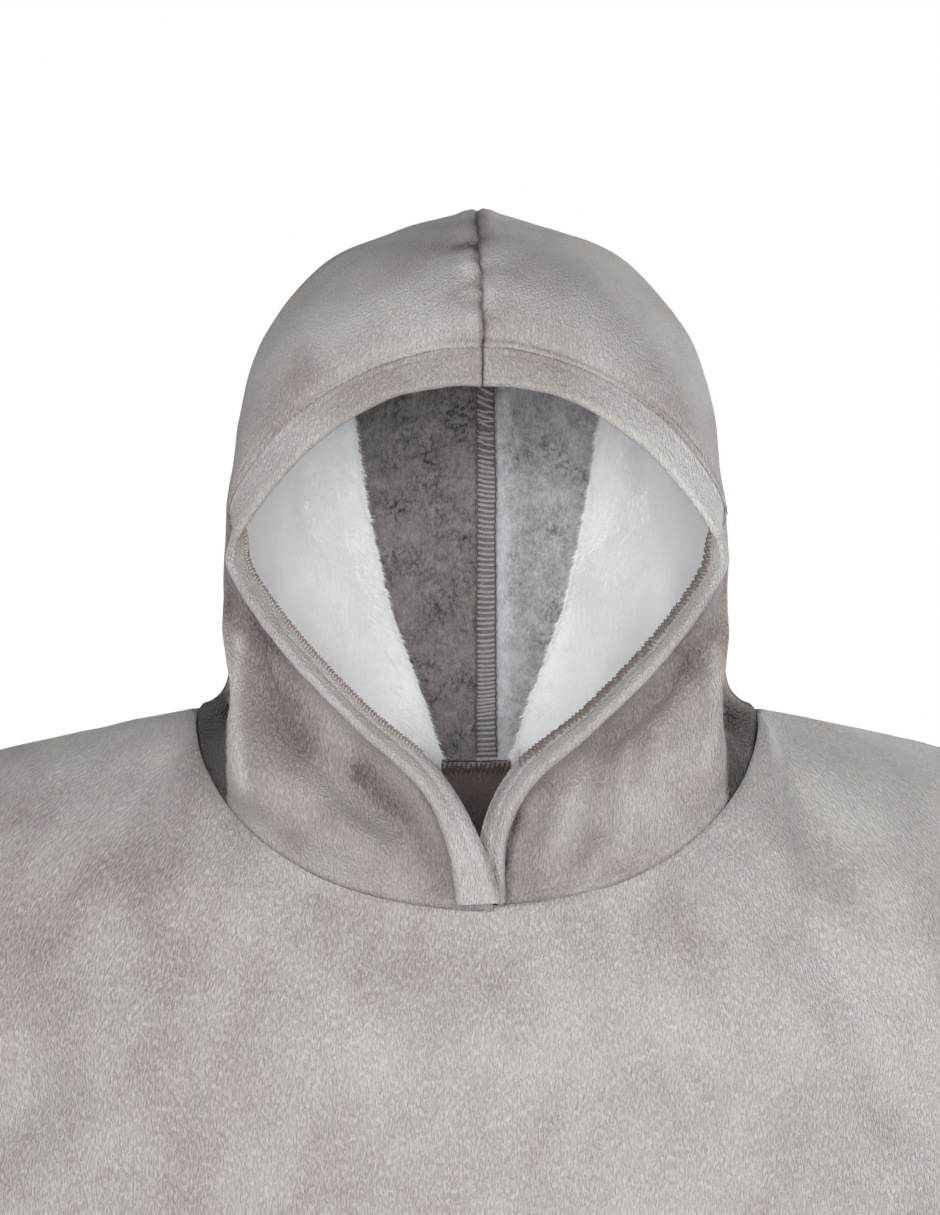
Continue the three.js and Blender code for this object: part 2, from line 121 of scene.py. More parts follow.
def addFloor():
    bm = bmesh.new()
    bmesh.ops.create_circle(bm, cap_ends=True, segments=96, radius=studio["floorRadius"] * mm)
    bmesh.ops.translate(bm, verts=bm.verts, vec=(0, 0, studio["floorHeight"] * mm))
    floor = addObject("floor", bm, [paleFloor()])


def addMesh(mesh, materials):
    piece = bpy.data.objects.new(mesh.name, mesh)
    bpy.context.scene.collection.objects.link(piece)
    for material in materials:
        mesh.materials.append(material)
    return piece


def addObject(name, bm, materials):
    mesh = bpy.data.meshes.new(name)
    for face in bm.faces:
        face.smooth = True
    bm.to_mesh(mesh)
    bm.free()
    return addMesh(mesh, materials)


# Materials
class Tree:
    def __init__(self, tree):
        self.tree = tree

    def add(self, kind, **values):
        node = self.tree.nodes.new(kind)
        for key, value in values.items():
            setattr(node, key, value)
        return node

    # Each input gets a number, a colour or another node's output
    def fill(self, node, values):
        for name, value in values.items():
            if isinstance(value, bpy.types.NodeSocket):
                self.tree.links.new(value, node.inputs[name])
            else:
                node.inputs[name].default_value = value
        return node

    def sums(self, operation, a, b, clamp=False):
        node = self.add("ShaderNodeMath", operation=operation, use_clamp=clamp)
        return self.fill(node, {0: a, 1: b}).outputs[0]

    def plus(self, a, b, clamp=False):
        return self.sums("ADD", a, b, clamp)

    def minus(self, a, b):
        return self.sums("SUBTRACT", a, b)

    def times(self, a, b):
        return self.sums("MULTIPLY", a, b)

    def stretch(self, vector, scale, place=(0, 0, 0)):
        node = self.add("ShaderNodeMapping")
        return self.fill(node, {"Vector": vector, "Scale": scale, "Location": place}).outputs[0]

    def noise(self, vector, scale=1.0, detail=2.0, roughness=0.5, distortion=0.0):
        node = self.add("ShaderNodeTexNoise")
        self.fill(node, {"Vector": vector, "Scale": scale, "Detail": detail})
        return self.fill(node, {"Roughness": roughness, "Distortion": distortion}).outputs["Fac"]

    def steps(self, value, low, high):
        node = self.add("ShaderNodeMapRange", interpolation_type="SMOOTHSTEP")
        return self.fill(node, {"Value": value, "From Min": low, "From Max": high}).outputs["Result"]

    def colours(self, factor, a, b):
        node = self.add("ShaderNodeMix", data_type="RGBA")
        return self.fill(node, {"Factor": factor, "A": a, "B": b}).outputs["Result"]

    # The painted shade and painted light, with some random tone, that clothGrid writes on a sheet
    def shade(self):
        return self.add("ShaderNodeAttribute", attribute_name="shade").outputs["Fac"]

    def objectPlace(self):
        return self.add("ShaderNodeTexCoord").outputs["Object"]

    def clothPlace(self):
        return self.add("ShaderNodeUVMap", uv_map="cloth").outputs[0]


# A group takes a place and some strengths, and gives numbers
def newGroup(name, strengths, outputs):
    group = bpy.data.node_groups.new(name, "ShaderNodeTree")
    sockets = group.interface
    sockets.new_socket(name="Vector", in_out="INPUT", socket_type="NodeSocketVector")
    for label in strengths:
        socket = sockets.new_socket(name=label, in_out="INPUT", socket_type="NodeSocketFloat")
        socket.default_value = 1.0
    for label in outputs:
        sockets.new_socket(name=label, in_out="OUTPUT", socket_type="NodeSocketFloat")
    tree = Tree(group)
    return group, tree, tree.add("NodeGroupInput"), tree.add("NodeGroupOutput")


# Short pile that lies in fine wavy streaks along the cloth
def makeNapGroup():
    group, tree, given, out = newGroup("brushedNap", ["Streak", "Patch"], ["Shade", "Height", "Patches"])
    place = given.outputs["Vector"]
    streaks = tree.noise(tree.stretch(place, (1050, 300, 1050)), detail=1, roughness=0.5, distortion=0.45)
    hairs = tree.noise(tree.stretch(place, (2600, 900, 2600), (3, 7, 0)), detail=1, roughness=0.6)
    spread = tree.stretch(place, (19, 13, 19), (5, 2, 0))
    drift = tree.noise(spread, detail=3, roughness=0.55, distortion=0.4)
    both = tree.plus(tree.times(tree.steps(streaks, 0.22, 0.78), 0.75), tree.times(hairs, 0.35))
    tree.fill(out, {
        "Shade": tree.times(tree.minus(both, 0.5), given.outputs["Streak"]),
        "Height": both,
        "Patches": tree.times(tree.minus(drift, 0.5), given.outputs["Patch"]),
    })
    return group


# Short soft hair that lies in small swirls
def makeCurlGroup():
    group, tree, given, out = newGroup("curledPile", [], ["Height", "Hair"])
    place = given.outputs["Vector"]
    hair = tree.noise(tree.stretch(place, (900, 330, 1)), detail=2.5, roughness=0.6, distortion=1.6)
    lumps = tree.noise(tree.stretch(place, (240, 200, 1)), detail=1.5, distortion=0.8)
    tree.fill(out, {"Height": tree.plus(tree.times(hair, 0.6), tree.times(lumps, 0.4)), "Hair": hair})
    return group


def newMaterial(name):
    material = bpy.data.materials.new(name)
    material.use_nodes = True
    tree = Tree(material.node_tree)
    material.node_tree.nodes.clear()
    shader = tree.add("ShaderNodeBsdfPrincipled")
    tree.fill(tree.add("ShaderNodeOutputMaterial"), {"Surface": shader.outputs[0]})
    return material, tree, shader


# Of each cloth: how strong and how high (m) its relief is, then its roughness, its shine and its sheen
surfaces = {
    "fleece": (1.0, 0.0012, 0.85, 0.2, 0.22),
    "plush": (0.4, 0.0008, 0.95, 0.1, 0.75),
    "sherpa": (0.8, 0.0009, 0.95, 0.1, 0.3),
}


def finishLook(tree, shader, surface, height, colour):
    strength, distance, roughness, specular, sheen = surfaces[surface]
    bump = tree.add("ShaderNodeBump")
    tree.fill(bump, {"Strength": strength, "Distance": distance, "Height": height})
    tree.fill(shader, {
        "Base Color": colour,
        "Normal": bump.outputs[0],
        "Roughness": roughness,
        "Specular IOR Level": specular,
        "Sheen Weight": sheen,
    })


def srgb(*values):
    return tuple(((v / 255 + 0.055) / 1.055) ** 2.4 for v in values) + (1,)


# Tones run from the darkest hollow to the lightest nap; the lowest stops give the colour of painted shade in
# hollows and troughs
fleeceLook = {
    "tones": [
        (0.0, (54, 47, 45)),
        (0.12, (117, 107, 104)),
        (0.25, (149, 140, 137)),
        (0.5, (183, 177, 174)),
        (0.75, (203, 199, 196)),
        (1.0, (220, 217, 214)),
    ],
    "middle": 0.46,
    "streak": 0.38,
    "patch": 0.5,
}


def fleeceMaterial(name, tint=(1, 1, 1), streak=1.0, patch=1.0, upright=False):
    material, tree, shader = newMaterial(name)
    if upright:
        turned = tree.add("ShaderNodeMapping")
        tree.fill(turned, {"Rotation": (-rightAngle, 0, 0), "Vector": tree.objectPlace()})
        place = turned.outputs[0]
    else:
        place = tree.clothPlace()
    nap = tree.fill(tree.add("ShaderNodeGroup", node_tree=groups["nap"]), {
        "Vector": place,
        "Streak": streak * fleeceLook["streak"],
        "Patch": patch * fleeceLook["patch"],
    })
    # the sheet's painted shade and light is added to the nap's tone
    tone = tree.plus(tree.plus(nap.outputs["Shade"], nap.outputs["Patches"]), tree.shade())
    ramp = tree.add("ShaderNodeValToRGB")
    stops = ramp.color_ramp.elements
    stops[0].position, stops[1].position = 0.0, 1.0
    for at, colour in fleeceLook["tones"]:
        stop = stops[0] if at == 0 else stops[-1] if at == 1 else stops.new(at)
        stop.color = tuple(c * t for c, t in zip(srgb(*colour), tint)) + (1,)
    tree.fill(ramp, {"Fac": tree.plus(tone, fleeceLook["middle"], clamp=True)})
    tree.fill(shader, {"Sheen Roughness": 0.4, "Sheen Tint": (1, 0.99, 0.98, 1)})
    finishLook(tree, shader, "fleece", nap.outputs["Height"], ramp.outputs["Color"])
    return material


def plushMaterial(name, low, high):
    material, tree, shader = newMaterial(name)
    place = tree.objectPlace()
    tufts = tree.noise(tree.stretch(place, (420, 420, 160)), detail=3, roughness=0.6, distortion=0.8)
    value = tree.plus(tree.times(tufts, 0.6), tree.times(tree.noise(place, 34, detail=2), 0.4))
    # the sheet's painted shade and light is added to the tufts' tone
    tone = tree.plus(tree.times(tree.steps(value, 0.3, 0.7), 0.35), tree.shade())
    finishLook(tree, shader, "plush", tufts, tree.colours(tree.plus(tone, 0.45, clamp=True), low, high))
    return material


def sherpaMaterial(name, base, dark):
    material, tree, shader = newMaterial(name)
    curls = tree.fill(tree.add("ShaderNodeGroup", node_tree=groups["curl"]), {"Vector": tree.clothPlace()})
    # the sheet's painted shade and light is added to the curls' tone
    tone = tree.plus(tree.times(tree.steps(curls.outputs["Hair"], 0.3, 0.7), 0.35), tree.shade())
    colour = tree.colours(tree.plus(tone, 0.5, clamp=True), dark, base)
    finishLook(tree, shader, "sherpa", curls.outputs["Height"], colour)
    return material


def threadMaterial(name, base):
    material, tree, shader = newMaterial(name)
    twist = tree.noise(tree.stretch(tree.objectPlace(), (1200, 1200, 1200)), detail=1)
    shadow = tuple(c * 0.75 for c in base[:3]) + (1,)
    colour = tree.colours(tree.steps(twist, 0.35, 0.65), shadow, base)
    tree.fill(shader, {"Base Color": colour, "Roughness": 0.7, "Sheen Weight": 0.2})
    return material


def paleFloor():
    material, tree, shader = newMaterial("paleFloor")
    grain = tree.noise(tree.objectPlace(), 3, 2)
    colour = tree.colours(grain, (0.84, 0.84, 0.84, 1), (0.88, 0.88, 0.88, 1))
    tree.fill(shader, {"Base Color": colour, "Roughness": 0.9})
    return material


# How far along a line the nearest place to (x, z) is, from 0 to 1
def nearestShare(x, z, x1, z1, dx, dz):
    return clamp01(((x - x1) * dx + (z - z1) * dz) / (dx * dx + dz * dz))


# Folds are (x1, z1, x2, z2, width, rise): a soft bell across a line, which fades in at its start
def foldHeight(folds, x, z):
    height = 0.0
    for x1, z1, x2, z2, width, rise in folds:
        dx, dz = x2 - x1, z2 - z1
        nearest = nearestShare(x, z, x1, z1, dx, dz)
        away = math.hypot(x - mix(x1, x2, nearest), z - mix(z1, z2, nearest))
        if away < width * 3:
            height += rise * bell(away, width) * ease(nearest * 3 + 0.25)
    return height


# Creases follow a line of points (x, z), each with a half width and a rise
def creaseHeight(creases, x, z):
    height = 0.0
    for line, width, rise in creases:
        away = 1e9
        for (x1, z1), (x2, z2) in zip(line, line[1:]):
            dx, dz = x2 - x1, z2 - z1
            t = nearestShare(x, z, x1, z1, dx, dz)
            away = min(away, math.hypot(x - x1 - dx * t, z - z1 - dz * t))
        if away < width * 3:
            height += rise * bell(away, width)
    return height


def unevenness(p, size, offset=0.0):
    return noise.noise(Vector((p.x / size + offset, p.y / size + offset * 0.7, p.z / size)))


# How far each point of a line is from its start along the line
def runs(line):
    far = [0.0]
    for a, b in zip(line, line[1:]):
        far.append(far[-1] + (b.co - a.co).length)
    return far


# A sheet of cloth: a grid whose points are put on a form, then moved along its normals by its fine relief.
# relief gets the place, its shares across and up, and its distances from the four borders, all in mm.
# shade paints places of the cloth darker or lighter: painted shade and painted light, with some random tone.
def clothGrid(grid, point, relief, outward, shade):
    columns, rows = grid
    bm = bmesh.new()
    uvLayer = bm.loops.layers.uv.new("cloth")
    shadeLayer = bm.verts.layers.float.new("shade")
    bmesh.ops.create_grid(bm, x_segments=columns, y_segments=rows, size=1)
    shares = {v: ((v.co.x + 1) / 2, (v.co.y + 1) / 2) for v in bm.verts}
    order = sorted(bm.verts, key=lambda v: (round(shares[v][1] * rows), round(shares[v][0] * columns)))
    for v in order:
        v.co = point(*shares[v])
    wide = columns + 1
    borders, flat = {}, {}
    for start in range(0, len(order), wide):
        row = order[start:start + wide]
        far = runs(row)
        for v, away in zip(row, far):
            borders[v] = (away, far[-1] - away)
            flat[v] = away - far[columns // 2]
    for i in range(wide):
        column = order[i::wide]
        far = runs(column)
        for v, away in zip(column, far):
            borders[v] += (away, far[-1] - away)
            flat[v] = (flat[v] * mm, away * mm)
    bmesh.ops.recalc_face_normals(bm, faces=bm.faces)
    sample = order[(rows // 2) * wide + columns // 4]
    bm.normal_update()
    if sample.normal.dot(outward(sample.co)) < 0:
        bmesh.ops.reverse_faces(bm, faces=bm.faces)
        bm.normal_update()
    moves = {v: relief(v.co, *shares[v], borders[v]) for v in order}
    normals = {v: v.normal.copy() for v in order}
    if shade:
        for v in order:
            v[shadeLayer] = shade(v.co, *shares[v])
    for face in bm.faces:
        for loop in face.loops:
            loop[uvLayer].uv = flat[loop.vert]
    for v in order:
        v.co = (v.co + normals[v] * moves[v]) * mm
    return bm


def rideInSlot(piece, slotName):
    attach(piece, "root")


# Each kind of sheet: its flat size and cut area in metres (no area where it's cut as a rectangle),
# the columns and rows of its grid, and its thickness in mm
sheets = {
    "front": {"flat": (0.98, 0.92), "area": 0.8, "grid": (150, 140), "thickness": 1.8},
    "back": {"flat": (0.98, 0.92), "area": 0.806, "grid": (150, 140), "thickness": 1.8},
    "sleeve": {"flat": (0.62, 0.38), "area": 0.17, "grid": (104, 96), "thickness": 1.8, "closed": True},
    "wall": {"flat": (0.42, 0.36), "area": 0.125, "grid": (124, 150), "thickness": 1.8},
    "hem": {"flat": (0.046, 0.41), "grid": (39, 220), "thickness": 1.6, "held": "folded"},
    "plush": {"flat": (0.34, 0.36), "area": 0.095, "grid": (84, 110), "thickness": 1.4},
    "curls": {"flat": (0.12, 0.36), "area": 0.027, "grid": (100, 290), "thickness": 1.4},
    "allowance": {"flat": (0.0125, 0.6), "grid": (12, 460), "thickness": 2.6, "held": "folded"},
}
sheets["wall"]["looks"] = sheets["hem"]["looks"] = ["hoodFleece"]
sheets["allowance"]["looks"] = ["tape"]
sheets["plush"]["slot"] = "white_pile"
sheets["curls"]["slot"] = "grey_pile"


def addSheet(kind, name, node, point, relief, outward, shade=None, sides=None):
    cut = sheets[kind]
    bm = clothGrid(cut["grid"], point, relief, outward, shade)
    if cut.get("closed"):
        bmesh.ops.remove_doubles(bm, verts=bm.verts, dist=0.00001)
    sides = sides or cut.get("looks", ["fleece", "inside"])
    piece = addObject(name, bm, [looks[side] for side in sides])
    wall = piece.modifiers.new("thickness", "SOLIDIFY")
    wall.material_offset = len(sides) - 1
    wall.thickness = cut["thickness"] * mm
    wall.offset = -1
    rideInSlot(piece, cut.get("slot", "outer_fleece"))
    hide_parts(node)
    cut.get("area")
    print("made", name)


# A seam's own relief, by the distance from it: the cloth dips at the seam and swells a little beside it
def seamDip(away, depth=1.7, width=3.2, swell=0.5):
    return -depth * bell(away, width) + swell * bell(away - width * 2.6, width * 1.7)


# A hem that is turned in: thicker up to its stitch line, with a groove there
def turnedHem(away, width, step=1.1):
    raised = step * (1 - ease((away - width + 1.5) / 3.0))
    groove = -0.9 * bell(away - width, 1.6) - 0.5 * bell(away - width + 5, 1.3)
    roll = -1.2 * bell(away, 1.6)
    return raised + groove + roll


# Body
neck = {
    "halfWidth": 160,
    "dropFront": 108.5,
    "dropBack": 38,
    "reachFront": 120,
    "reachBack": 86,
    "share": 0.46,
}
body = {
    "armholeX": 430,
    "armholeHeight": 250,
    "armholeDepth": 58,
    "front": {"side": -1, "shoulder": 134, "underarm": 136, "hem": 126},
    "back": {"side": 1, "shoulder": 108, "underarm": 112, "hem": 116},
    "hemZ": -860,
    "hemHalfWidth": 446,
    "hemDip": 14,
    "underarmHalfWidth": 430,
    "slope": 0.19,
    "slopeBend": 0.0002,
    "hemTurn": 26,
}
# Large folds: x and z of both ends, half width, rise; those that reach the hem end at its height
frontFolds = [
    (-190, -22, -168, -70, 14, -5),
    (165, -35, 205, -82, 12, -6),
    (150, -90, 215, -150, 22, -5),
    (-300, -120, -130, -150, 34, -6),
    (-405, -310, -250, -215, 26, -13),
    (405, -310, 245, -225, 26, -13),
    (-385, -360, -330, -860, 30, 15),
    (-275, -420, -255, -860, 30, -15),
    (-165, -520, -175, -860, 34, 13),
    (-50, -560, -70, -860, 36, -13),
    (45, -500, 50, -860, 34, 13),
    (150, -480, 165, -860, 34, -15),
    (260, -440, 275, -860, 32, 14),
    (350, -370, 370, -860, 26, -13),
]
backFolds = [
    (-400, -305, -240, -190, 26, -12),
    (400, -305, 250, -200, 26, -12),
    (-360, -380, -340, -860, 30, 14),
    (-250, -360, -240, -860, 32, -15),
    (-130, -300, -135, -860, 36, 15),
    (-15, -340, -20, -860, 34, -15),
    (95, -310, 100, -860, 34, 15),
    (210, -380, 220, -860, 32, -15),
    (330, -400, 345, -860, 30, 14),
]
# Smaller creases of the front, as the camera sees them, and like ones at the back
frontCreases = [
    (((-172, -22), (-170, -46), (-163, -60)), 7, -2.2),
    (((-250, -100), (-205, -120), (-155, -165)), 16, -1.6),
    (((-160, -100), (-120, -112), (-80, -128)), 16, 1.4),
    (((154, -38), (166, -62), (190, -74)), 6, -2.4),
    (((148, -72), (165, -95), (196, -135)), 11, -2.2),
    (((188, -88), (228, -122)), 12, -1.8),
    (((172, -30), (190, -50)), 7, -1.6),
    (((-420, -240), (-360, -205), (-300, -190)), 9, -3),
    (((420, -250), (352, -210), (290, -196)), 9, -3),
    (((-415, -200), (-370, -180), (-330, -176)), 7, -2),
    (((415, -190), (365, -172), (320, -168)), 7, -2),
    (((-420, -320), (-380, -380), (-350, -450)), 14, -4),
    (((420, -320), (385, -390), (362, -460)), 14, -4),
]
backCreases = [
    (((-420, -240), (-350, -200), (-280, -185)), 9, -3),
    (((420, -250), (345, -212), (275, -190)), 9, -3),
    (((-150, -52), (-80, -78), (0, -84), (85, -76), (150, -50)), 16, -2.5),
    (((-420, -320), (-380, -390), (-350, -450)), 14, -4),
    (((420, -320), (380, -385), (352, -455)), 14, -4),
]


# Softly darker and lighter places: partly where the nap lies another way, partly painted shade and light,
# with one side darker, the other shoulder lighter and painted shade beside the hood at the neck. A line of
# points, half width, change
frontNapAndPaintedShade = [
    (((-430, -60), (-300, -40)), 60, -0.06),
    (((-380, -300), (-300, -130), (-200, -108)), 70, -0.1),
    (((-230, -22), (-180, -20)), 24, 0.06),
    (((430, -60), (180, -28)), 44, 0.16),
    (((60, -170), (300, -200), (420, -260)), 90, 0.07),
    (((-168, -16), (-164, -52)), 9, -0.1),
    (((172, -20), (166, -56)), 8, -0.1),
]
backNapAndPaintedShade = [
    (((-430, -60), (-200, -10)), 60, -0.06),
    (((-120, -200), (60, -420)), 110, 0.06),
    (((430, -60), (250, -80)), 90, 0.06),
]


def shoulderLine(x):
    out = abs(x) - neck["halfWidth"]
    return -body["slope"] * out - body["slopeBend"] * out * abs(out)


def neckSeam(angle, side):
    drop = neck["dropFront"] if side < 0 else neck["dropBack"]
    reach = neck["reachFront"] if side < 0 else neck["reachBack"]
    c = max(0.0, math.cos(angle))
    return Vector((neck["halfWidth"] * math.sin(angle), side * reach * c ** 0.4, -drop * c))


# s runs from side seam to side seam; level is 0 at the neck and shoulders, 1 at the armhole's widest,
# 2 at the underarm and 3 at the hem
def panelPoint(form, folds, s, level):
    share = abs(s)
    hand = 1 if s >= 0 else -1
    side = form["side"]
    widestZ = shoulderLine(body["armholeX"]) - body["armholeHeight"] / 2
    underarmZ = shoulderLine(body["armholeX"]) - body["armholeHeight"]
    turn = rightAngle * (0.6 * share + 0.4 * share ** 3)
    if share <= neck["share"]:
        top = neckSeam(rightAngle * share / neck["share"], side)
    else:
        x = mix(neck["halfWidth"], body["armholeX"], (share - neck["share"]) / (1 - neck["share"]))
        top = Vector((x, 0, shoulderLine(x)))
    widestY = side * mix(form["shoulder"], body["armholeDepth"], share ** 2.2)
    widest = Vector((body["armholeX"] * share, widestY, widestZ))
    sin, cos = math.sin(turn), math.cos(turn)
    underarm = Vector((body["underarmHalfWidth"] * sin, side * form["underarm"] * cos, underarmZ))
    hemZ = body["hemZ"] - body["hemDip"] * cos
    bottom = Vector((body["hemHalfWidth"] * sin, side * form["hem"] * cos, hemZ))
    if level <= 1:
        angle = rightAngle * level
        rounded = ease(share / neck["share"])
        p = Vector((
            mix(top.x, widest.x, level),
            mix(top.y, widest.y, mix(smooth(level), math.sin(angle), rounded)),
            mix(top.z, widest.z, mix(level, 1 - math.cos(angle), rounded)),
        ))
    elif level <= 2:
        t = level - 1
        angle = rightAngle * t
        rounded = ease((share - 0.75) / 0.25)
        p = Vector((
            mix(widest.x, underarm.x, t),
            mix(widest.y, underarm.y, mix(smooth(t), 1 - math.cos(angle), rounded)),
            mix(widest.z, underarm.z, mix(t, math.sin(angle), rounded)),
        ))
    else:
        p = underarm.lerp(bottom, level - 2)
    p.x *= hand
    fade = ease((1 - share) / 0.12) * ease(level / 0.25)
    p.y += side * fade * foldHeight(folds, p.x, p.z)
    return p


# Level for a share from the hem (0) to the neck (1)
def levelAt(v):
    down = 1 - v
    if down < 0.3:
        return down / 0.3
    if down < 0.52:
        return 1 + (down - 0.3) / 0.22
    return 2 + (down - 0.52) / 0.48


def addPanel(node, folds, creases, tones):
    form = body[node]

    def point(u, v):
        return panelPoint(form, folds, 2 * u - 1, levelAt(v))

    def relief(p, u, v, borders):
        left, right, low, high = borders
        side = min(left, right)
        seam = min(side, high)
        inner = ease(seam / 22)
        move = seamDip(seam)
        pucker = unevenness(p, 16, 9) * 0.7 * bell(seam, 15)
        if abs(p.x) < neck["halfWidth"] - 4:
            pucker = unevenness(p, 13, 4) * 0.9 * bell(high, 22)
            if high <= side:
                move = seamDip(high, 1.3, 2.2, 0.3)
        move += pucker * ease(seam / 5)
        move += turnedHem(low, body["hemTurn"])
        loose = 1.5 * unevenness(p, 95) + 0.8 * unevenness(p, 42, 11) + 0.25 * unevenness(p, 17, 5)
        return move + inner * (loose + creaseHeight(creases, p.x, p.z))

    def shade(p, u, v):
        # random tone, plus the painted shade and light of the tone lines
        return 0.05 * unevenness(p, 70, 21) + creaseHeight(tones, p.x, p.z)

    addSheet(node, node + "_panel", node, point, relief, lambda p: Vector((0, form["side"], 0)), shade)


# Sleeves
sleeve = {
    "length": 360,
    "drop": 0.31,
    "cuffHeight": 112,
    "cuffHalfDepth": 43,
    "cuffTilt": 0.27,
    "hemTurn": 24,
}
sleeveFolds = [  # place along, width, height, direction of the highest point in degrees from the top
    (0.2, 0.07, -9, 150),
    (0.38, 0.06, 8, 190),
    (0.56, 0.06, -8, 120),
    (0.72, 0.05, 7, 220),
    (0.86, 0.05, -6, 150),
]


def sleevePoint(hand, place, angle):
    height = mix(body["armholeHeight"], sleeve["cuffHeight"], smooth(place) * 0.4 + place * 0.6)
    halfDepth = mix(body["armholeDepth"], sleeve["cuffHalfDepth"], place)
    top = shoulderLine(body["armholeX"]) - sleeve["drop"] * sleeve["length"] * place
    centreX = body["armholeX"] + sleeve["length"] * place
    tilt = sleeve["cuffTilt"] * place
    slack = 0.0
    for at, width, rise, peak in sleeveFolds:
        slack += rise * bell(place - at, width) * (0.5 + 0.5 * math.cos(angle - math.radians(peak)))
    up = (height / 2 + slack) * math.cos(angle)
    out = (halfDepth + slack) * math.sin(angle)
    return Vector((hand * (centreX + up * math.sin(tilt)), -out, top - height / 2 + up * math.cos(tilt)))


def addSleeve(word, hand):
    def point(u, v):
        return sleevePoint(hand, mix(0.0006, 1, v), 2 * math.pi * u + math.pi)

    # noise that meets itself where the tube closes
    def around(u, size, along):
        ring = Vector((math.cos(2 * math.pi * u), math.sin(2 * math.pi * u), 0))
        return noise.noise(Vector((ring.x * size, ring.y * size, along)))

    def relief(p, u, v, borders):
        left, right, low, high = borders
        loose = 3.0 * around(u, 1.4, v * 7 + hand) + 1.2 * around(u, 4, v * 14 + hand * 3)
        move = seamDip(low) + turnedHem(high, sleeve["hemTurn"]) + seamDip(min(left, right), 1.4)
        return move + ease(min(low, high) / 24) * loose

    addSheet("sleeve", "sleeve_cloth_" + word, "sleeve_" + word, point, relief,
             lambda p: p - Vector((p.x, 0, -250)))


# Hood: sections from the stitch line of the front edge, round the side, to the seam at the back
hoodSections = [  # folded edge, stitch line, side, back (y, z), square front corner, climb before going back
    ((12.5, -134, -107), (-9, -126, -106), (160, 0, 0), (86, -38), 0.4, 0),
    ((19, -140, -71), (1, -131, -71), (148, -10, 12), (101, -10), 0.42, 0),
    ((35, -143, -41), (26, -127, -33.5), (144, -18, 30), (109, 16), 0.46, 0),
    ((71, -140, -8), (64, -122, -1.5), (143, -26, 52), (117, 48), 0.55, 0),
    ((108.5, -130, 31), (101.5, -112, 38), (143, -31, 74), (125, 82), 0.7, 0.1),
    ((137, -114, 71), (129, -96, 75), (143.5, -34, 92), (131, 116), 0.85, 0.3),
    ((141.5, -109, 90), (135, -90, 96), (143, -34, 108), (134, 147), 1, 0.5),
    ((129, -104, 111), (138, -87, 120), (140, -30, 132), (133, 177), 1, 0.75),
    ((97.5, -106, 145.5), (108, -97, 160.5), (136, -14, 172), (127, 207), 1, 1),
    ((59, -112, 172), (67, -104, 188), (120.5, 2, 219), (114, 237), 1, 1),
    ((24, -115, 181.5), (26, -109, 201.5), (78, 12, 264.5), (98, 261), 1, 1),
    ((0, -116, 182.5), (0, -111, 203.5), (0, 16, 290.5), (80, 273), 1, 1),
]
underlap = [(13, 5, 19), (3, -1, 15), (-3, -2, 9), (-1, -1, 3)]  # left half: stitch line, edge, back
# Folds of the hood's form in shares round and up: both ends, half width, rise in mm
hoodFolds = [
    (0.06, 0.06, 0.1, 0.36, 0.05, -9),
    (0.31, 0.03, 0.31, 0.3, 0.06, 8),
    (0.43, 0.03, 0.42, 0.22, 0.055, -8),
    (0.62, 0.12, 0.8, 0.3, 0.08, -6),
]
# How thick each pile stands, and the height of the hood's middle, from which its cloth faces away
pileDepth = {"plush": 6.2, "curls": 3.5}
hoodMiddle = 60
# Where the long pile ends: height, distance from the middle
pileBorder = [(-64, 13), (-52, 17), (3, 36), (60, 59), (122, 73), (169, 80), (235, 88)]
hoodWall = {"hemThickness": 6.0, "hemShift": 4.5, "liningGap": 2.4}


def hoodRows(hand):
    rows = []
    for k, (edge, stitch, side, back, square, climb) in enumerate(hoodSections):
        out, edgeOut, behind = underlap[k] if hand > 0 and k < len(underlap) else (0, 0, 0)
        rows.append({
            "edge": Vector((edge[0] + edgeOut, edge[1] + behind, edge[2])),
            "stitch": Vector((stitch[0] + out, stitch[1] + behind, stitch[2])),
            "side": Vector(side),
            "back": back,
            "square": square,
            "climb": climb,
        })
    return rows


def sectionPoint(row, k, u):
    if k == 0 and u < 0.5:
        seam = neckSeam(rightAngle * 2 * u, -1)
        lapped = (1 - clamp01(u / 0.2)) ** 2
        seam.x += lapped * row["stitch"].x
        seam.y += lapped * (row["stitch"].y + neck["reachFront"])
        return seam
    if k == 0:
        return neckSeam(math.pi * (1 - u), 1)
    stitch, side, climb = row["stitch"], row["side"], row["climb"]
    if u < 0.5:
        angle = rightAngle * 2 * u
        out = math.sin(angle) ** mix(0.55, 1, row["square"])
        back = 1 - max(0.0, math.cos(angle)) ** row["square"]
        rise = mix(1 - math.cos(angle), math.sin(angle), climb)
        return Vector((mix(stitch.x, side.x, out), mix(stitch.y, side.y, back), mix(stitch.z, side.z, rise)))
    angle = rightAngle * (2 * u - 1)
    return Vector((
        side.x * max(0.0, math.cos(angle)) ** 0.9,
        mix(side.y, row["back"][0], math.sin(angle)),
        mix(side.z, row["back"][1], 1 - math.cos(angle)),
    ))


# A smooth curve through the values at whole steps
def throughPoints(valueAt, count, v):
    at = v * (count - 1)
    k = min(count - 2, int(at))
    t = at - k
    a, b, c, d = [valueAt(min(count - 1, max(0, i))) for i in (k - 1, k, k + 1, k + 2)]
    square, cube = 2 * a - 5 * b + 4 * c - d, 3 * b - a - 3 * c + d
    return 0.5 * (2 * b + (c - a) * t + square * t * t + cube * t ** 3)


# The seam between the halves ends to one side at the front, and waves a little
topSeam = {"drift": 3.2, "wave": 1.5, "waves": 46}


def seamDrift(v):
    return topSeam["drift"] * ease((v - 0.9) / 0.1)


def seamWave(u, v):
    near = ease((v - 0.94) / 0.06) * ease((0.6 - u) / 0.1) * ease(u / 0.03)
    return near * topSeam["wave"] * noise.noise(Vector((u * topSeam["waves"], 3.1, 0.5)))


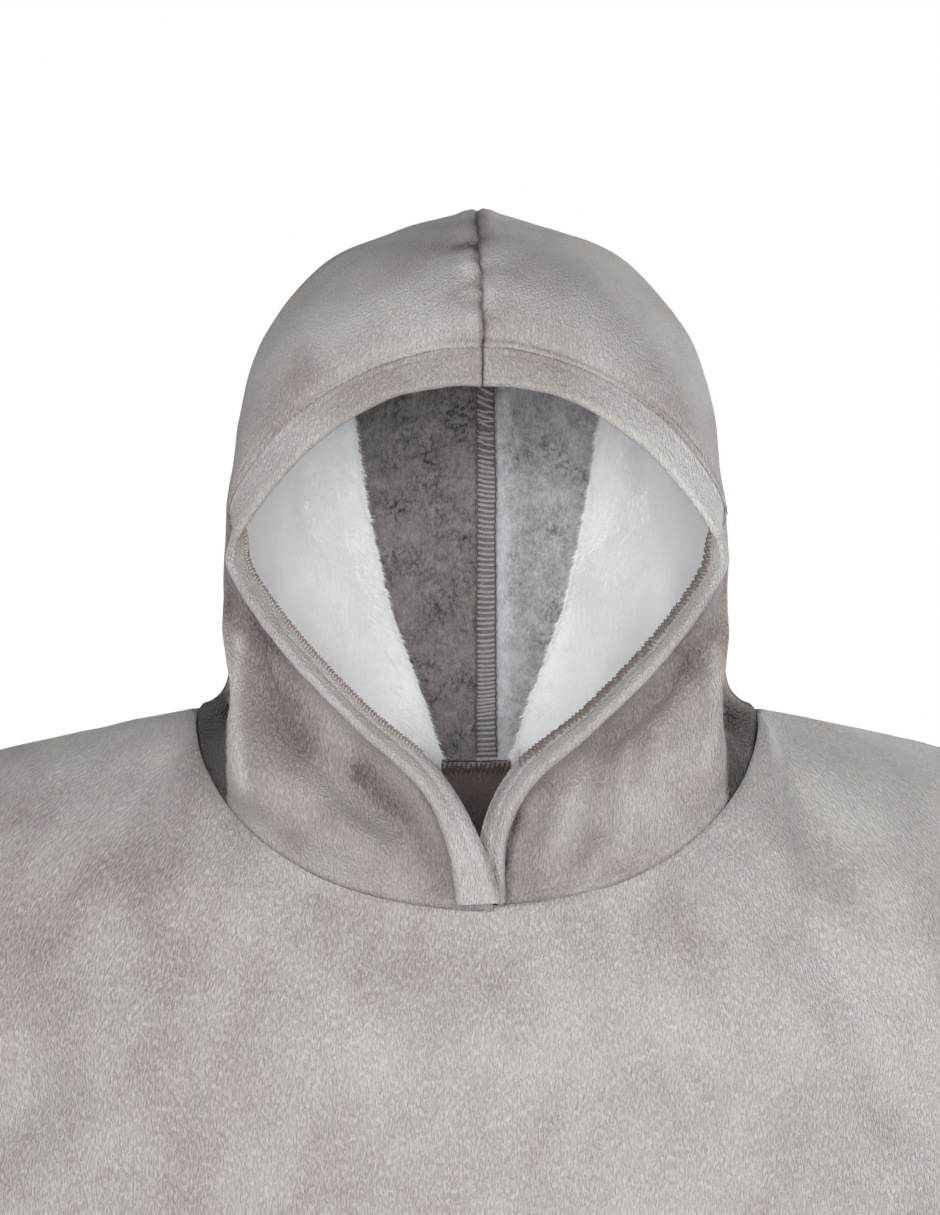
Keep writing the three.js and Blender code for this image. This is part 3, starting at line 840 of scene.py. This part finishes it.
# One half of the hood as a table of places and ways out, on which its wall and linings are laid
class HoodHalf:
    def __init__(self, hand):
        self.hand = hand
        self.rows = hoodRows(hand)
        self.columns, self.lines = 150, 160
        across = [i / self.columns for i in range(self.columns + 1)]
        shares = [[(u, j / self.lines) for u in across] for j in range(self.lines + 1)]
        self.places = [[self.form(u, v) for u, v in row] for row in shares]
        self.findNormals()
        for j, row in enumerate(shares):
            for i, (u, v) in enumerate(row):
                p = self.places[j][i]
                self.places[j][i] = p + self.normals[j][i] * self.looseCloth(p, u, v)
        self.findNormals()
        self.softenNormals()

    def turned(self, p):
        return Vector((p.x * self.hand, p.y, p.z))

    def form(self, u, v):
        p = throughPoints(lambda k: sectionPoint(self.rows[k], k, u), len(self.rows), v)
        rise = foldHeight(hoodFolds, u, v) * ease(v / 0.08) * ease(u / 0.05)
        p += Vector((p.x, p.y - 10, 0)).normalized() * rise
        p.x += self.hand * seamDrift(v) * ease(1 - u * 2) + self.hand * seamWave(u, v)
        for place, width, low, high, out, back in cornerShapes[self.hand]:
            share = bell(u - place, width) * ease((v - low) / 0.05) * ease((high - v) / 0.12)
            p += Vector((out, back, 0)) * share
        return self.turned(p)

    def looseCloth(self, p, u, v):
        inner = ease(u / 0.03) * ease((1 - u) / 0.05) * ease((1 - v) / 0.05) * ease(v / 0.03)
        move = 1.6 * unevenness(p, 70, self.hand) + 0.8 * unevenness(p, 33, 7)
        if u < 0.5:
            move += creaseHeight(wallCreases[self.hand], p.x, p.z)
        else:
            move += creaseHeight(napeCreases, abs(p.x), p.z)
        return inner * move

    def findNormals(self):
        self.normals = []
        for j in range(self.lines + 1):
            row = []
            for i in range(self.columns + 1):
                across = self.places[j][min(self.columns, i + 1)] - self.places[j][max(0, i - 1)]
                up = self.places[min(self.lines, j + 1)][i] - self.places[max(0, j - 1)][i]
                row.append((across.cross(up) * self.hand).normalized())
            self.normals.append(row)

    def softenNormals(self, reach=7):
        def averaged(line):
            near = [line[max(0, k - reach):k + reach + 1] for k in range(len(line))]
            return [sum(some, Vector((0, 0, 0))).normalized() for some in near]

        rows = [averaged(row) for row in self.normals]
        columns = [averaged([row[i] for row in rows]) for i in range(self.columns + 1)]
        self.softNormals = [[column[j] for column in columns] for j in range(self.lines + 1)]

    def between(self, table, u, v):
        x, y = clamp01(u) * self.columns, clamp01(v) * self.lines
        i, j = min(self.columns - 1, int(x)), min(self.lines - 1, int(y))
        low = table[j][i].lerp(table[j][i + 1], x - i)
        high = table[j + 1][i].lerp(table[j + 1][i + 1], x - i)
        return low.lerp(high, y - j)

    def point(self, u, v):
        return self.between(self.places, u, v)

    def outward(self, u, v):
        return self.between(self.normals, u, v).normalized()

    def softOutward(self, u, v):
        return self.between(self.softNormals, u, v).normalized()

    def stitchLine(self, v):
        return self.frontLine("stitch", v)

    def foldedEdge(self, v):
        return self.frontLine("edge", v)

    def frontLine(self, kind, v):
        p = self.turned(throughPoints(lambda k: self.rows[k][kind], len(self.rows), v))
        return p + Vector((seamDrift(v), 0, 0))

    def pileEnd(self, v):
        low, high = 0.55, 0.97
        for _ in range(14):
            u = (low + high) / 2
            p = self.point(u, v)
            if abs(p.x) > borderAt(p.z):
                low = u
            else:
                high = u
        return low


def borderAt(z):
    for (z1, x1), (z2, x2) in zip(pileBorder, pileBorder[1:]):
        if z < z2:
            return mix(x1, x2, clamp01((z - z1) / (z2 - z1)))
    return pileBorder[-1][1]


# How the front corner of each half stands out and the cloth behind it sinks: place round, width,
# from and to (shares up), and how far out (x) and back (y)
cornerShapes = {
    -1: [(0.37, 0.05, 0.01, 0.5, 2, -9), (0.455, 0.022, 0.0, 0.34, -15, 12), (0.5, 0.03, 0.3, 0.6, -2, 0)],
    1: [(0.37, 0.05, 0.01, 0.5, 1, -7), (0.455, 0.022, 0.0, 0.32, -12, 10), (0.5, 0.05, 0.3, 0.8, -4, 0)],
}
# Creases of each half's front wall, as the camera sees them
wallCreases = {
    -1: [
        (((-126, 34), (-116, 6), (-99, -14), (-80, -34), (-60, -50), (-38, -70), (-28, -92)), 12, -9),
        (((-136, -20), (-114, -46), (-84, -66), (-60, -80)), 18, 4),
        (((-96, -50), (-84, -62)), 8, -1.8),
    ],
    1: [
        (((122, 30), (90, -2), (58, -30), (30, -54), (19, -78)), 7, -7),
        (((70, -16), (70, -40), (70, -66)), 8, -6),
        (((60, -26), (50, -46), (44, -66)), 9, 4),
        (((104, -16), (92, -40), (82, -66)), 13, 4),
        (((40, -54), (30, -76), (25, -92)), 7, -3),
        (((124, 30), (108, 8)), 12, -4),
    ],
}
# Places of each half where the nap lies dark or light, and painted shade and light: shade under the front
# hem's lip and along its troughs, a highlight along the outlined edge, shade and light about the top seam.
# Line of points, half width, change
wallNapAndPaintedShade = {
    -1: [
        (((-128, 46), (-112, 6), (-94, -20)), 19, -0.24),
        (((-64, -36), (-40, -58), (-26, -84), (-19, -99)), 10, -0.22),
        (((-134, 40), (-136, 0), (-131, -42)), 3.5, 0.2),
        (((-125, -40), (-80, -74), (-45, -92)), 13, -0.03),
        (((-85, 212), (-42, 232)), 9, 0.13),
        (((-18, 266), (-40, 250)), 12, -0.07),
        (((-4.5, 259), (-6, 247)), 3.2, 0.2),
        (((-3, 264.5), (-12, 263)), 2.2, -0.26),
        (((-3, 240), (-14, 235)), 2.6, -0.12),
        (((-116, 160), (-92, 190)), 14, -0.16),
        (((-140, 120), (-140, 60)), 10, -0.12),
    ],
    1: [
        (((68, -40), (64, -62), (57, -86)), 7, -0.13),
        (((23, -60), (17.5, -80), (16.5, -102)), 4.5, -0.2),
        (((36, -60), (30, -76), (26, -92)), 7, -0.1),
        (((132, 42), (100, 8), (76, -16), (42, -44)), 10, -0.19),
        (((4, 264), (5, 228)), 2.2, 0.14),
        (((96, -16), (88, -40)), 6, -0.12),
        (((62, -30), (50, -50)), 7, 0.1),
        (((104, -30), (96, -62)), 9, 0.06),
        (((134, 36), (136, 0), (128, -30)), 3.5, 0.15),
        (((40, 240), (60, 226)), 16, 0.08),
        (((94, 182), (112, 160)), 14, -0.06),
        (((60, 268), (84, 256)), 14, 0.16),
        (((104, 216), (128, 176)), 9, 0.1),
    ],
}
# Creases of both halves behind
napeCreases = [
    (((20, 120), (60, 90), (110, 70)), 14, -2.5),
    (((10, 40), (60, 30), (110, 20)), 16, -2.5),
    (((30, 190), (70, 170), (105, 150)), 12, -2.2),
]
# Gathers beside the top seam: height, half width, reach from the seam, rise
topGathers = {
    -1: [(262, 3.5, 9, -2.8), (251, 4, 9, 2.8), (240, 3, 6, -1.4), (231, 3.5, 9, -2.2), (221, 5, 8, 1.8)],
    1: [
        (281, 5, 9, 2.0),
        (267, 4, 6, -1.8),
        (255, 4, 5, 1.2),
        (247, 4, 6, -1.8),
        (238, 5, 7, 2.0),
        (222, 4, 6, -1.4),
    ],
}


def addHoodWall(word, half):
    hand = half.hand

    def point(u, v):
        lap = (1 - clamp01(v / 0.014)) ** 2
        out = half.outward(u, v) * lap * mix(0.9, 2.2, bell(u - 0.52, 0.1))
        return half.point(u, v) + out - Vector((0, 0, 2.2 * lap))

    def relief(p, u, v, borders):
        left, right, low, high = borders
        seam = min(right, high)
        inner = ease(min(seam, low) / 14)
        move = seamDip(seam, 2.6, 2.4, 1.0) + 1.1 * bell(low - 4.5, 3.5) - 0.5 * bell(low, 1.4)
        move -= (1.3 if hand > 0 else 0.7) * bell(left - 5.5, 1.3) + 0.5 * bell(left, 1.6)
        gathers = unevenness(Vector((p.z, p.y, 0)), 9, hand * 5) * 1.1 * bell(seam, 16)
        if u < 0.6:
            gathers += sum(rise * bell(p.z - z, width) * bell(high, reach)
                           for z, width, reach, rise in topGathers[hand])
        move += gathers * ease(seam / 3)
        move += 0.7 * unevenness(p, 12, 3) * bell(low, 18) * ease(low / 4)
        return move + inner * (0.3 * unevenness(p, 14, 5) + 0.7 * unevenness(p, 38, 17))

    def shade(p, u, v):
        fromTop, fromNeck, fromHem = (1 - v) * 260, v * 300, u * 330
        value = 0.08 * unevenness(p, 45, 31) + 0.05 * unevenness(p, 18, 13)
        # painted shade in the top seam, painted light over the top of the hood and painted shade along the
        # neck seam
        value -= 0.4 * bell(fromTop, 2.2) * ease((0.6 - u) / 0.1)
        value += 0.08 * ease((p.z - 120) / 60) - 0.14 * bell(fromNeck, 1.6)
        # painted shadow in the crevice between the front corner and the neck seam, deeper on the right half;
        # painted shade over the wall, more below
        ring = ease((abs(p.x) - 139) / 3) * ease((22 - p.z) / 25) * ease((10 - p.y) / 20)
        value -= (0.6 if hand < 0 else 0.4) * ring + 0.03 + 0.03 * ease((120 - p.z) / 60)
        # painted shade in the second stitch line beside the front hem
        value -= (0.16 if hand > 0 else 0.1) * bell(fromHem - 5.5, 1.3)
        if u < 0.5:
            # painted shade in the hollows of the gathers, a little lighter on their ridges
            for z, width, reach, rise in topGathers[hand]:
                strength = 0.07 if rise < 0 else 0.03
                value += strength * rise * bell(p.z - z, width) * bell(fromTop - 3, reach)
            return value + creaseHeight(wallNapAndPaintedShade[hand], p.x, p.z)
        # painted shade low down, just behind the side
        return value - 0.5 * bell(v, 0.16) * bell(u - 0.56, 0.1)

    addSheet("wall", "hood_wall_" + word, "hood_" + word, point, relief,
             lambda p: Vector((p.x, p.y, p.z - hoodMiddle)), shade)


curl = {"size": 5.6, "warp": 0.8, "crack": 0.11, "depth": 1.0}


# How near a place is to a parting between two curls, from 0 to 1
def crackAt(p, hand):
    q = p / curl["size"]
    starts = ((0, 0, 0), (9, 0, 0), (0, 9, 0))
    q += Vector([noise.noise(q * 1.3 + Vector(start)) for start in starts]) * curl["warp"]
    near = noise.voronoi(q + Vector((hand * 7, 0, 0)))[0]
    parting = bell(near[1] - near[0], curl["crack"])
    share = 0.5 if hand < 0 else 0.22
    return parting * clamp01(share + 0.9 * noise.noise(p / 19 + Vector((4, hand, 2))))


def liningDepth(kind, place):
    return hoodWall["liningGap"] + mix(2.2, pileDepth[kind], ease((place - 0.5) / 0.1))


def inwards(p):
    return Vector((-p.x, -p.y, hoodMiddle - p.z))


# A lining lies under the wall: plush is the front part, with long pile, and curls are the rest
def addLining(kind, node, word, half):
    hand = half.hand
    side = kind == "plush"
    ends = {}

    def span(v):
        key = round(v, 6)
        if key not in ends:
            ends[key] = half.pileEnd(v)
        return (0.03, ends[key] + 0.004) if side else (ends[key] - 0.012, 0.9995)

    def point(u, v):
        v = mix(0.012, 0.997, v)
        low, high = span(v)
        place = mix(low, high, u)
        return half.point(place, v) - half.softOutward(place, v) * liningDepth(kind, place)

    def relief(p, u, v, borders):
        edge = min(borders)
        if side:
            return ease(edge / 10) * (1.1 * unevenness(p, 26, hand * 2) + 0.7 * unevenness(p, 11, 8))
        soft = 0.9 * unevenness(p, 30, hand * 2) + 0.7 * unevenness(p, 9, 8)
        return ease(edge / 3) * (soft - curl["depth"] * crackAt(p, hand))

    def shade(p, u, v):
        if side:
            # painted light over the plush, painted shade towards the curls at mid height
            return 0.45 - 0.75 * ease((u - 0.76) / 0.24) * bell(p.z - 85, 75)
        # painted shade in the partings between curls, with random tone; the right half a little darker
        value = -0.46 * crackAt(p, hand) + 0.16 * unevenness(p, 8, 8) + 0.08 * unevenness(p, 30, hand)
        value += 0.16 * unevenness(p, 3.2, 2) - (0.05 if hand < 0 else 0)
        # painted light on the raised pile beside the centre seam, painted shade further out
        if hand > 0:
            away = abs(p.x) - 13
            value += 0.24 * bell(away - 3, 5) - 0.1 * bell(away - 18, 8)
        # painted shade towards the top, deep in the hood
        return value - (0.02 if hand < 0 else 0.12) * ease((p.z - 90) / 90)

    # the curls take a copy of the pile colour with painted shade, one for each half
    look = "plush" if side else "sherpaInShadeLeft" if hand < 0 else "sherpaInShadeRight"
    addSheet(kind, kind + "_" + word, node, point, relief, inwards, shade, [look])


# Pile that stands out where it shows in outline: each hair is a thin closed cone from a root along its way
def addHair(name, slotName, look, hairs):
    places, faces = [], []
    for root, way, radius in hairs:
        aside = way.orthogonal().normalized() * radius
        other = way.cross(aside).normalized() * radius
        k = len(places)
        back = root - aside * 0.5
        places += [root + aside, back + other * 0.87, back - other * 0.87, root + way]
        faces += [(k, k + 2, k + 1), (k, k + 1, k + 3), (k + 1, k + 2, k + 3), (k + 2, k, k + 3)]
    mesh = bpy.data.meshes.new(name)
    mesh.from_pydata([tuple(p * mm) for p in places], [], faces)
    rideInSlot(addMesh(mesh, [looks[look]]), slotName)
    print("made", name, len(hairs), "hairs")


# Lengths, radius and depth of the root are in mm. One hair in restEvery stands away from the border, and one
# in hangingEvery hangs over the neck seam
standingHair = {
    "count": 11000,
    "restEvery": 4,
    "hangingEvery": 10,
    "borderLength": (2.2, 5.4),
    "restLength": (2.5, 4.5),
    "hangingLength": (7, 15),
    "radius": (0.16, 0.3),
    "root": 0.4,
}


# Hairs along the border with the curls, lying over them, and some over the rest
def plushHairs(half, seed):
    rand = random.Random(seed)
    hairs = []
    for k in range(standingHair["count"]):
        v = rand.uniform(0.012, 0.985)
        end = half.pileEnd(v) + 0.004
        atBorder = k % standingHair["restEvery"] > 0
        place = end - rand.random() ** (1.7 if atBorder else 2.4) * (0.045 if atBorder else 0.11)
        out = half.softOutward(place, v)
        p = half.point(place, v)
        across = (half.point(place + 0.02, v) - p).normalized()
        down = (half.point(place, v - 0.01) - half.point(place, v + 0.01)).normalized()
        clump = noise.noise(Vector((v * 70, place * 40, seed)))
        tuft = noise.noise(Vector((v * 190, place * 90, seed + 5)))
        lean = 0.7 + 0.4 * clump + 0.3 * tuft if atBorder else 0.2 * clump
        way = across * (lean + rand.uniform(-0.3, 0.3))
        way += down * (0.7 - 0.5 * clump + rand.uniform(-0.3, 0.3))
        way -= out * (rand.uniform(0.1, 0.4) if atBorder else rand.uniform(0.05, 0.25))
        if atBorder:
            length = rand.uniform(*standingHair["borderLength"]) * (1 + 0.3 * tuft)
        else:
            length = rand.uniform(*standingHair["restLength"])
        if k % standingHair["hangingEvery"] == 0:
            # the lowest hairs hang over the neck seam
            v = rand.uniform(0.012, 0.04)
            place = half.pileEnd(v) + 0.004 - rand.random() * 0.1
            out, p = half.softOutward(place, v), half.point(place, v)
            way = Vector((rand.uniform(-0.2, 0.2), rand.uniform(-0.9, -0.3), -1))
            length = rand.uniform(*standingHair["hangingLength"])
        root = p - out * (liningDepth("plush", place) - standingHair["root"])
        hairs.append((root, way.normalized() * length, rand.uniform(*standingHair["radius"])))
    return hairs


# The centre seam's allowance lies on the linings, from the nape up the back and over the top
allowance = {"width": 12.5, "depth": 9.3, "rung": 3.5, "shareAtBack": 0.6}


# A place on the allowance by its share along and its distance from the seam, with the way in
def seamPlace(half, t, out):
    back = allowance["shareAtBack"]
    if t < back:
        v = mix(0.014, 0.95, t / back)
        p, n = half.point(1, v), half.outward(1, v)
        q, m = half.point(0.94, v), half.outward(0.94, v)
    else:
        u = mix(0.93, 0.03, (t - back) / 0.4)
        p, n = half.point(u, 1), half.outward(u, 1)
        q, m = half.point(u, 0.95), half.outward(u, 0.95)
    share = out / (q - p).length
    way = n.lerp(m, share).normalized()
    return p.lerp(q, share) - way * allowance["depth"], -way


def addSeamAllowance(half):
    def point(u, v):
        return seamPlace(half, v, mix(0.4, allowance["width"], u))[0]

    def relief(p, u, v, borders):
        left, right, low, high = borders
        ladder = 0.55 * abs(math.sin(math.pi * low / allowance["rung"]))
        fade = ease((0.36 - v) / 0.08)
        edge = -0.9 * bell(left, 1.2) - 0.7 * bell(right, 1.2)
        return ladder * fade + edge + 0.45 * unevenness(p, 6, 3) + 0.5 * unevenness(p, 22, 7)

    def shade(p, u, v):
        # painted shade along both edges of the allowance, with random tone
        return 0.12 * unevenness(p, 6, 3) - 0.35 * bell(u, 0.1) - 0.2 * bell(1 - u, 0.1)

    addSheet("allowance", "seam_allowance", "hood_seam_allowance", point, relief, inwards, shade)


# Threads are round tubes along lines of points
def addThreads(name, look, lines, radius, sides=5):
    bm = bmesh.new()
    for line in lines:
        rings = []
        for k, p in enumerate(line):
            along = (line[min(k + 1, len(line) - 1)] - line[max(k - 1, 0)]).normalized()
            side = along.cross(Vector((0.31, 0.9, 0.29))).normalized()
            other = along.cross(side)
            angles = [2 * math.pi * j / sides for j in range(sides)]
            ways = [side * math.cos(angle) + other * math.sin(angle) for angle in angles]
            rings.append([bm.verts.new((p + way * radius) * mm) for way in ways])
        for a, b in zip(rings, rings[1:]):
            for j in range(sides):
                bm.faces.new((a[j], a[(j + 1) % sides], b[(j + 1) % sides], b[j]))
        bm.faces.new(rings[0][::-1])
        bm.faces.new(rings[-1])
    bmesh.ops.recalc_face_normals(bm, faces=bm.faces)
    rideInSlot(addObject(name, bm, [looks[look]]), "outer_fleece")
    print("made", name, len(lines), "threads")


# Pale rungs across the allowance at the back, side by side, and slanting ones above
def allowanceRungs(half):
    rand = random.Random(41)
    lines = []
    t = 0.004
    while t < 0.975:
        loose = ease((t - 0.3) / 0.1)
        tilt = rand.uniform(-0.0008, 0.0008) + loose * rand.uniform(-0.006, 0.006)
        bow = 0.0012 + rand.uniform(-0.0004, 0.0004)
        line = []
        for j in range(7):
            share = j / 6
            at = t + tilt * (share - 0.5) - bow * 4 * share * (1 - share)
            place, way = seamPlace(half, clamp01(at), mix(0.1, 12.4, share))
            line.append(place + way * (0.9 * (4 * share * (1 - share)) ** 0.4 - 0.4))
        lines.append(line)
        t += (0.0056 + rand.uniform(-0.0006, 0.0006)) * (1 + loose * rand.uniform(-0.2, 1.1))
    return lines


# Dark threads along both edges, and crossing ones higher up
def allowanceEdges(half):
    rand = random.Random(43)
    lines = []
    for out, wave in ((0.2, 0.45), (12.2, 0.35)):
        line = []
        for k in range(330):
            place, way = seamPlace(half, mix(0.004, 0.98, k / 329), out + wave * math.sin(k * 1.55))
            line.append(place + way * 0.5)
        lines.append(line)
    t = 0.34
    while t < 0.96:
        ends = [t, t + rand.uniform(0.004, 0.012), t + rand.uniform(-0.004, 0.004)]
        outs = [0.3, rand.uniform(3, 9), 12.2]
        spots = [seamPlace(half, at, out) for at, out in zip(ends, outs)]
        lines.append([place + way * 0.7 for place, way in spots])
        t += rand.uniform(0.006, 0.014)
    return lines


# The turned hem of the hood's front edge: folded cloth, stitched down along the wall
def stripFrame(half, v):
    base, edge = half.stitchLine(v), half.foldedEdge(v)
    if half.hand < 0:
        base += Vector((hoodWall["hemShift"] * (1 - clamp01(v / 0.1)), 0, 0))
    step = 0.01
    low, high = max(0, v - step), min(1, v + step)
    along = half.stitchLine(high) - half.stitchLine(low) + half.foldedEdge(high) - half.foldedEdge(low)
    if v >= 0.9999:
        along = Vector((-half.hand, 0, 0))
    reach = edge - base
    width = reach.length
    reach.normalize()
    inward = (reach.cross(along) * half.hand).normalized()
    return base, reach, inward, width


def addHoodHem(word, half):
    thick = hoodWall["hemThickness"]
    radius = thick / 2
    steps = sheets["hem"]["grid"][0]

    # along the wall, round the folded edge and back inside: how far out and how deep
    def outline(width, step):
        flatRun = width - radius
        bend = math.pi * radius
        at = (flatRun * 2 + bend) * step / steps
        if at < flatRun:
            return at, 0.0
        if at < flatRun + bend:
            angle = (at - flatRun) / radius
            return flatRun + radius * math.sin(angle), radius - radius * math.cos(angle)
        return flatRun - (at - flatRun - bend), thick

    def frameAt(v):
        return stripFrame(half, mix(0.001, 0.9995, v))

    def point(u, v):
        base, reach, inward, width = frameAt(v)
        out, deep = outline(width, int(round(u * steps)))
        tucked = 0.35 * (1 - clamp01(out / 1.2)) if deep < 0.1 else 0
        return base + reach * (max(out, 0.4) if deep > 0.1 else out - 0.6) + inward * (deep + tucked)

    def relief(p, u, v, borders):
        outer, raw = borders[0], borders[1]
        move = 0.6 * unevenness(p, 24, 3) + 0.35 * unevenness(p, 9, 6)
        move -= 0.5 * bell(outer - 4, 1.1)
        move -= 0.7 * bell(raw - 9, 1.8) * ease((0.5 - v) / 0.2)
        if half.hand > 0:
            move -= 1.8 * bell(p.z - 33, 4) * bell(raw - 7, 4)
        return move * ease(min(outer, raw) / 2)

    def shade(p, u, v):
        inside = ease((u - 0.5) / 0.15)
        flatRun = frameAt(v)[3] - radius
        bend = math.pi * radius
        out = flatRun - (u * (flatRun * 2 + bend) - flatRun - bend)
        rawEdge = bell(out - 3.5, 4.5) if half.hand > 0 else bell(out - 1.5, 2.4)
        value = 0.06 * unevenness(p, 30, 3) - 0.3 * inside * rawEdge
        # painted light on the hem's inner face, more lower down
        value += mix(0.02, 0.24 * ease((0.62 - v) / 0.2), inside)
        fromTop = (1 - v) * 420
        # painted shade at the top end and over the top, and a little low down
        value -= 0.4 * bell(fromTop, 2.2) + 0.12 * ease((p.z - 150) / 30)
        value -= 0.07 * bell(p.z + 100, 30)
        # painted light on the left half's hem at mid height
        return value + (0.38 if half.hand > 0 else 0.06) * bell(p.z - 125, 50)

    addSheet("hem", "hood_edge_" + word, "hood_hem_" + word, point, relief,
             lambda p: -stripFrame(half, 0.5)[2], shade)


# The raw edge of each hem is overlocked: loops round the edge, side by side
overlock = {
    "pitch": {-1: 2.1, 1: 2.6},
    "reach": {-1: 4.2, 1: 7.4},
    "up": 0.4,
    "radius": 0.5,
    "from": 0.2,
    "to": 0.985,
    "path": {  # share of the reach, further out (mm), along (pitches), deep (mm)
        -1: [
            (1, 0, 0, 0.35),
            (0.55, 0, 0.25, 0.75),
            (0, 0.1, 0.45, 0.7),
            (0, -1.3, 0.6, 0),
            (0, -1.1, 0.9, -0.8),
        ],
        1: [
            (1, 0, 0, 0.4),
            (0.4, 0, 0.5, 0.8),
            (0, -0.8, 1, 0.3),
            (0.4, 0, 1.5, 0.9),
            (1, 0, 2, 0.4),
        ],
    },
}


def overlockLoops(half):
    hand = half.hand
    rand = random.Random(7 + hand)
    thick = hoodWall["hemThickness"]
    lines = []
    v = overlock["from"]
    while v < overlock["to"]:
        base, reach, inward, _ = stripFrame(half, v)
        along = reach.cross(inward).normalized()
        size = overlock["reach"][hand] * rand.uniform(0.85, 1.15)
        pitch = overlock["pitch"][hand]
        slant = rand.uniform(0.6, 1.3)
        line = []
        for share, further, step, deep in overlock["path"][hand]:
            out = size * share + further + overlock["up"]
            line.append(base + reach * out + along * (step * pitch * slant) + inward * (thick + deep))
        lines.append(line)
        nextBase = stripFrame(half, min(1, v + 0.01))[0]
        v += 0.01 * pitch / max(0.5, (nextBase - base).length)
    return lines


# The overlocked seam at the back of the neck, seen inside
def neckLoops():
    def frameAt(angle):
        return neckSeam(angle, 1), Vector((-math.sin(angle), -math.cos(angle), 0))

    rand = random.Random(19)
    lines = []
    count = 150
    for k in range(count):
        p, inward = frameAt(mix(-1.35, 1.35, k / (count - 1)))
        rise = rand.uniform(2.2, 3.6)
        line = []
        for out, step, up in ((2.4, -0.8, -0.9), (4.2, 0, -0.2), (4.4, 0.7, 0.6), (2.8, 1.2, 1.1)):
            line.append(p + inward * out + Vector((rand.uniform(-0.4, 0.4) + step, 0, up * rise)))
        lines.append(line)
    steps = 240
    for wave, up in ((0.9, 0.4), (2.3, -0.7)):
        line = []
        for k in range(steps + 1):
            p, inward = frameAt(mix(-1.4, 1.4, k / steps))
            line.append(p + inward * 3.4 + Vector((0, 0, up + 0.7 * math.sin(k * wave))))
        lines.append(line)
    return lines


# Build
groups = {"nap": makeNapGroup(), "curl": makeCurlGroup()}
looks = {
    "fleece": fleeceMaterial("brushedFleece"),
    # the hood's fleece a little darker than the body's: painted shade
    "hoodFleece": fleeceMaterial("brushedFleeceHood", (0.95, 0.95, 0.95), 0.56, 0.9, upright=True),
    # the cloth's inner faces: a darker copy of the fleece, painted shade of the hollow garment
    "inside": fleeceMaterial("clothInsideInShade", tint=(0.41, 0.35, 0.33), streak=0.5),
    "plush": plushMaterial("whitePlush", srgb(216, 217, 220), srgb(252, 253, 255)),
    "plushHair": plushMaterial("whiteHair", srgb(234, 235, 238), srgb(249, 250, 252)),
    # the curls are white pile in the hood's shade, so their grey is painted shade: the warm copy darker and
    # the cool copy lighter, as the shade falls
    "sherpaInShadeLeft": sherpaMaterial("curledPileShadedWarm", srgb(150, 144, 142), srgb(42, 37, 35)),
    "sherpaInShadeRight": sherpaMaterial("curledPileShadedCool", srgb(196, 196, 202), srgb(78, 72, 72)),
    "tape": sherpaMaterial("seamTape", srgb(132, 127, 125), srgb(44, 39, 38)),
    "greyThread": threadMaterial("greyThread", srgb(168, 163, 161)),
    "brownThread": threadMaterial("brownThread", srgb(96, 78, 72)),
    "beigeThread": threadMaterial("beigeThread", srgb(196, 180, 168)),
    "taupeThread": threadMaterial("taupeThread", srgb(126, 110, 102)),
}
setUpStudio()
addFloor()
addPanel("front", frontFolds, frontCreases, frontNapAndPaintedShade)
addPanel("back", backFolds, backCreases, backNapAndPaintedShade)
for word, hand in (("right", -1), ("left", 1)):
    addSleeve(word, hand)
    half = HoodHalf(hand)
    addHoodWall(word, half)
    addHoodHem(word, half)
    addLining("plush", "lining_side_" + word, word, half)
    addLining("curls", "lining_back_" + word, word, half)
    addHair("plush_hair_" + word, "white_pile", "plushHair", plushHairs(half, 5 + hand))
    thread = "taupeThread" if hand > 0 else "beigeThread"
    addThreads("hem_overlock_" + word, thread, overlockLoops(half), overlock["radius"])
addSeamAllowance(half)
threadRadius = {"rung": 0.85, "edge": 0.42, "neck": 0.6}
addThreads("seam_rungs", "greyThread", allowanceRungs(half), threadRadius["rung"])
addThreads("seam_overlock", "brownThread", allowanceEdges(half), threadRadius["edge"])
addThreads("neck_overlock", "brownThread", neckLoops(), threadRadius["neck"])
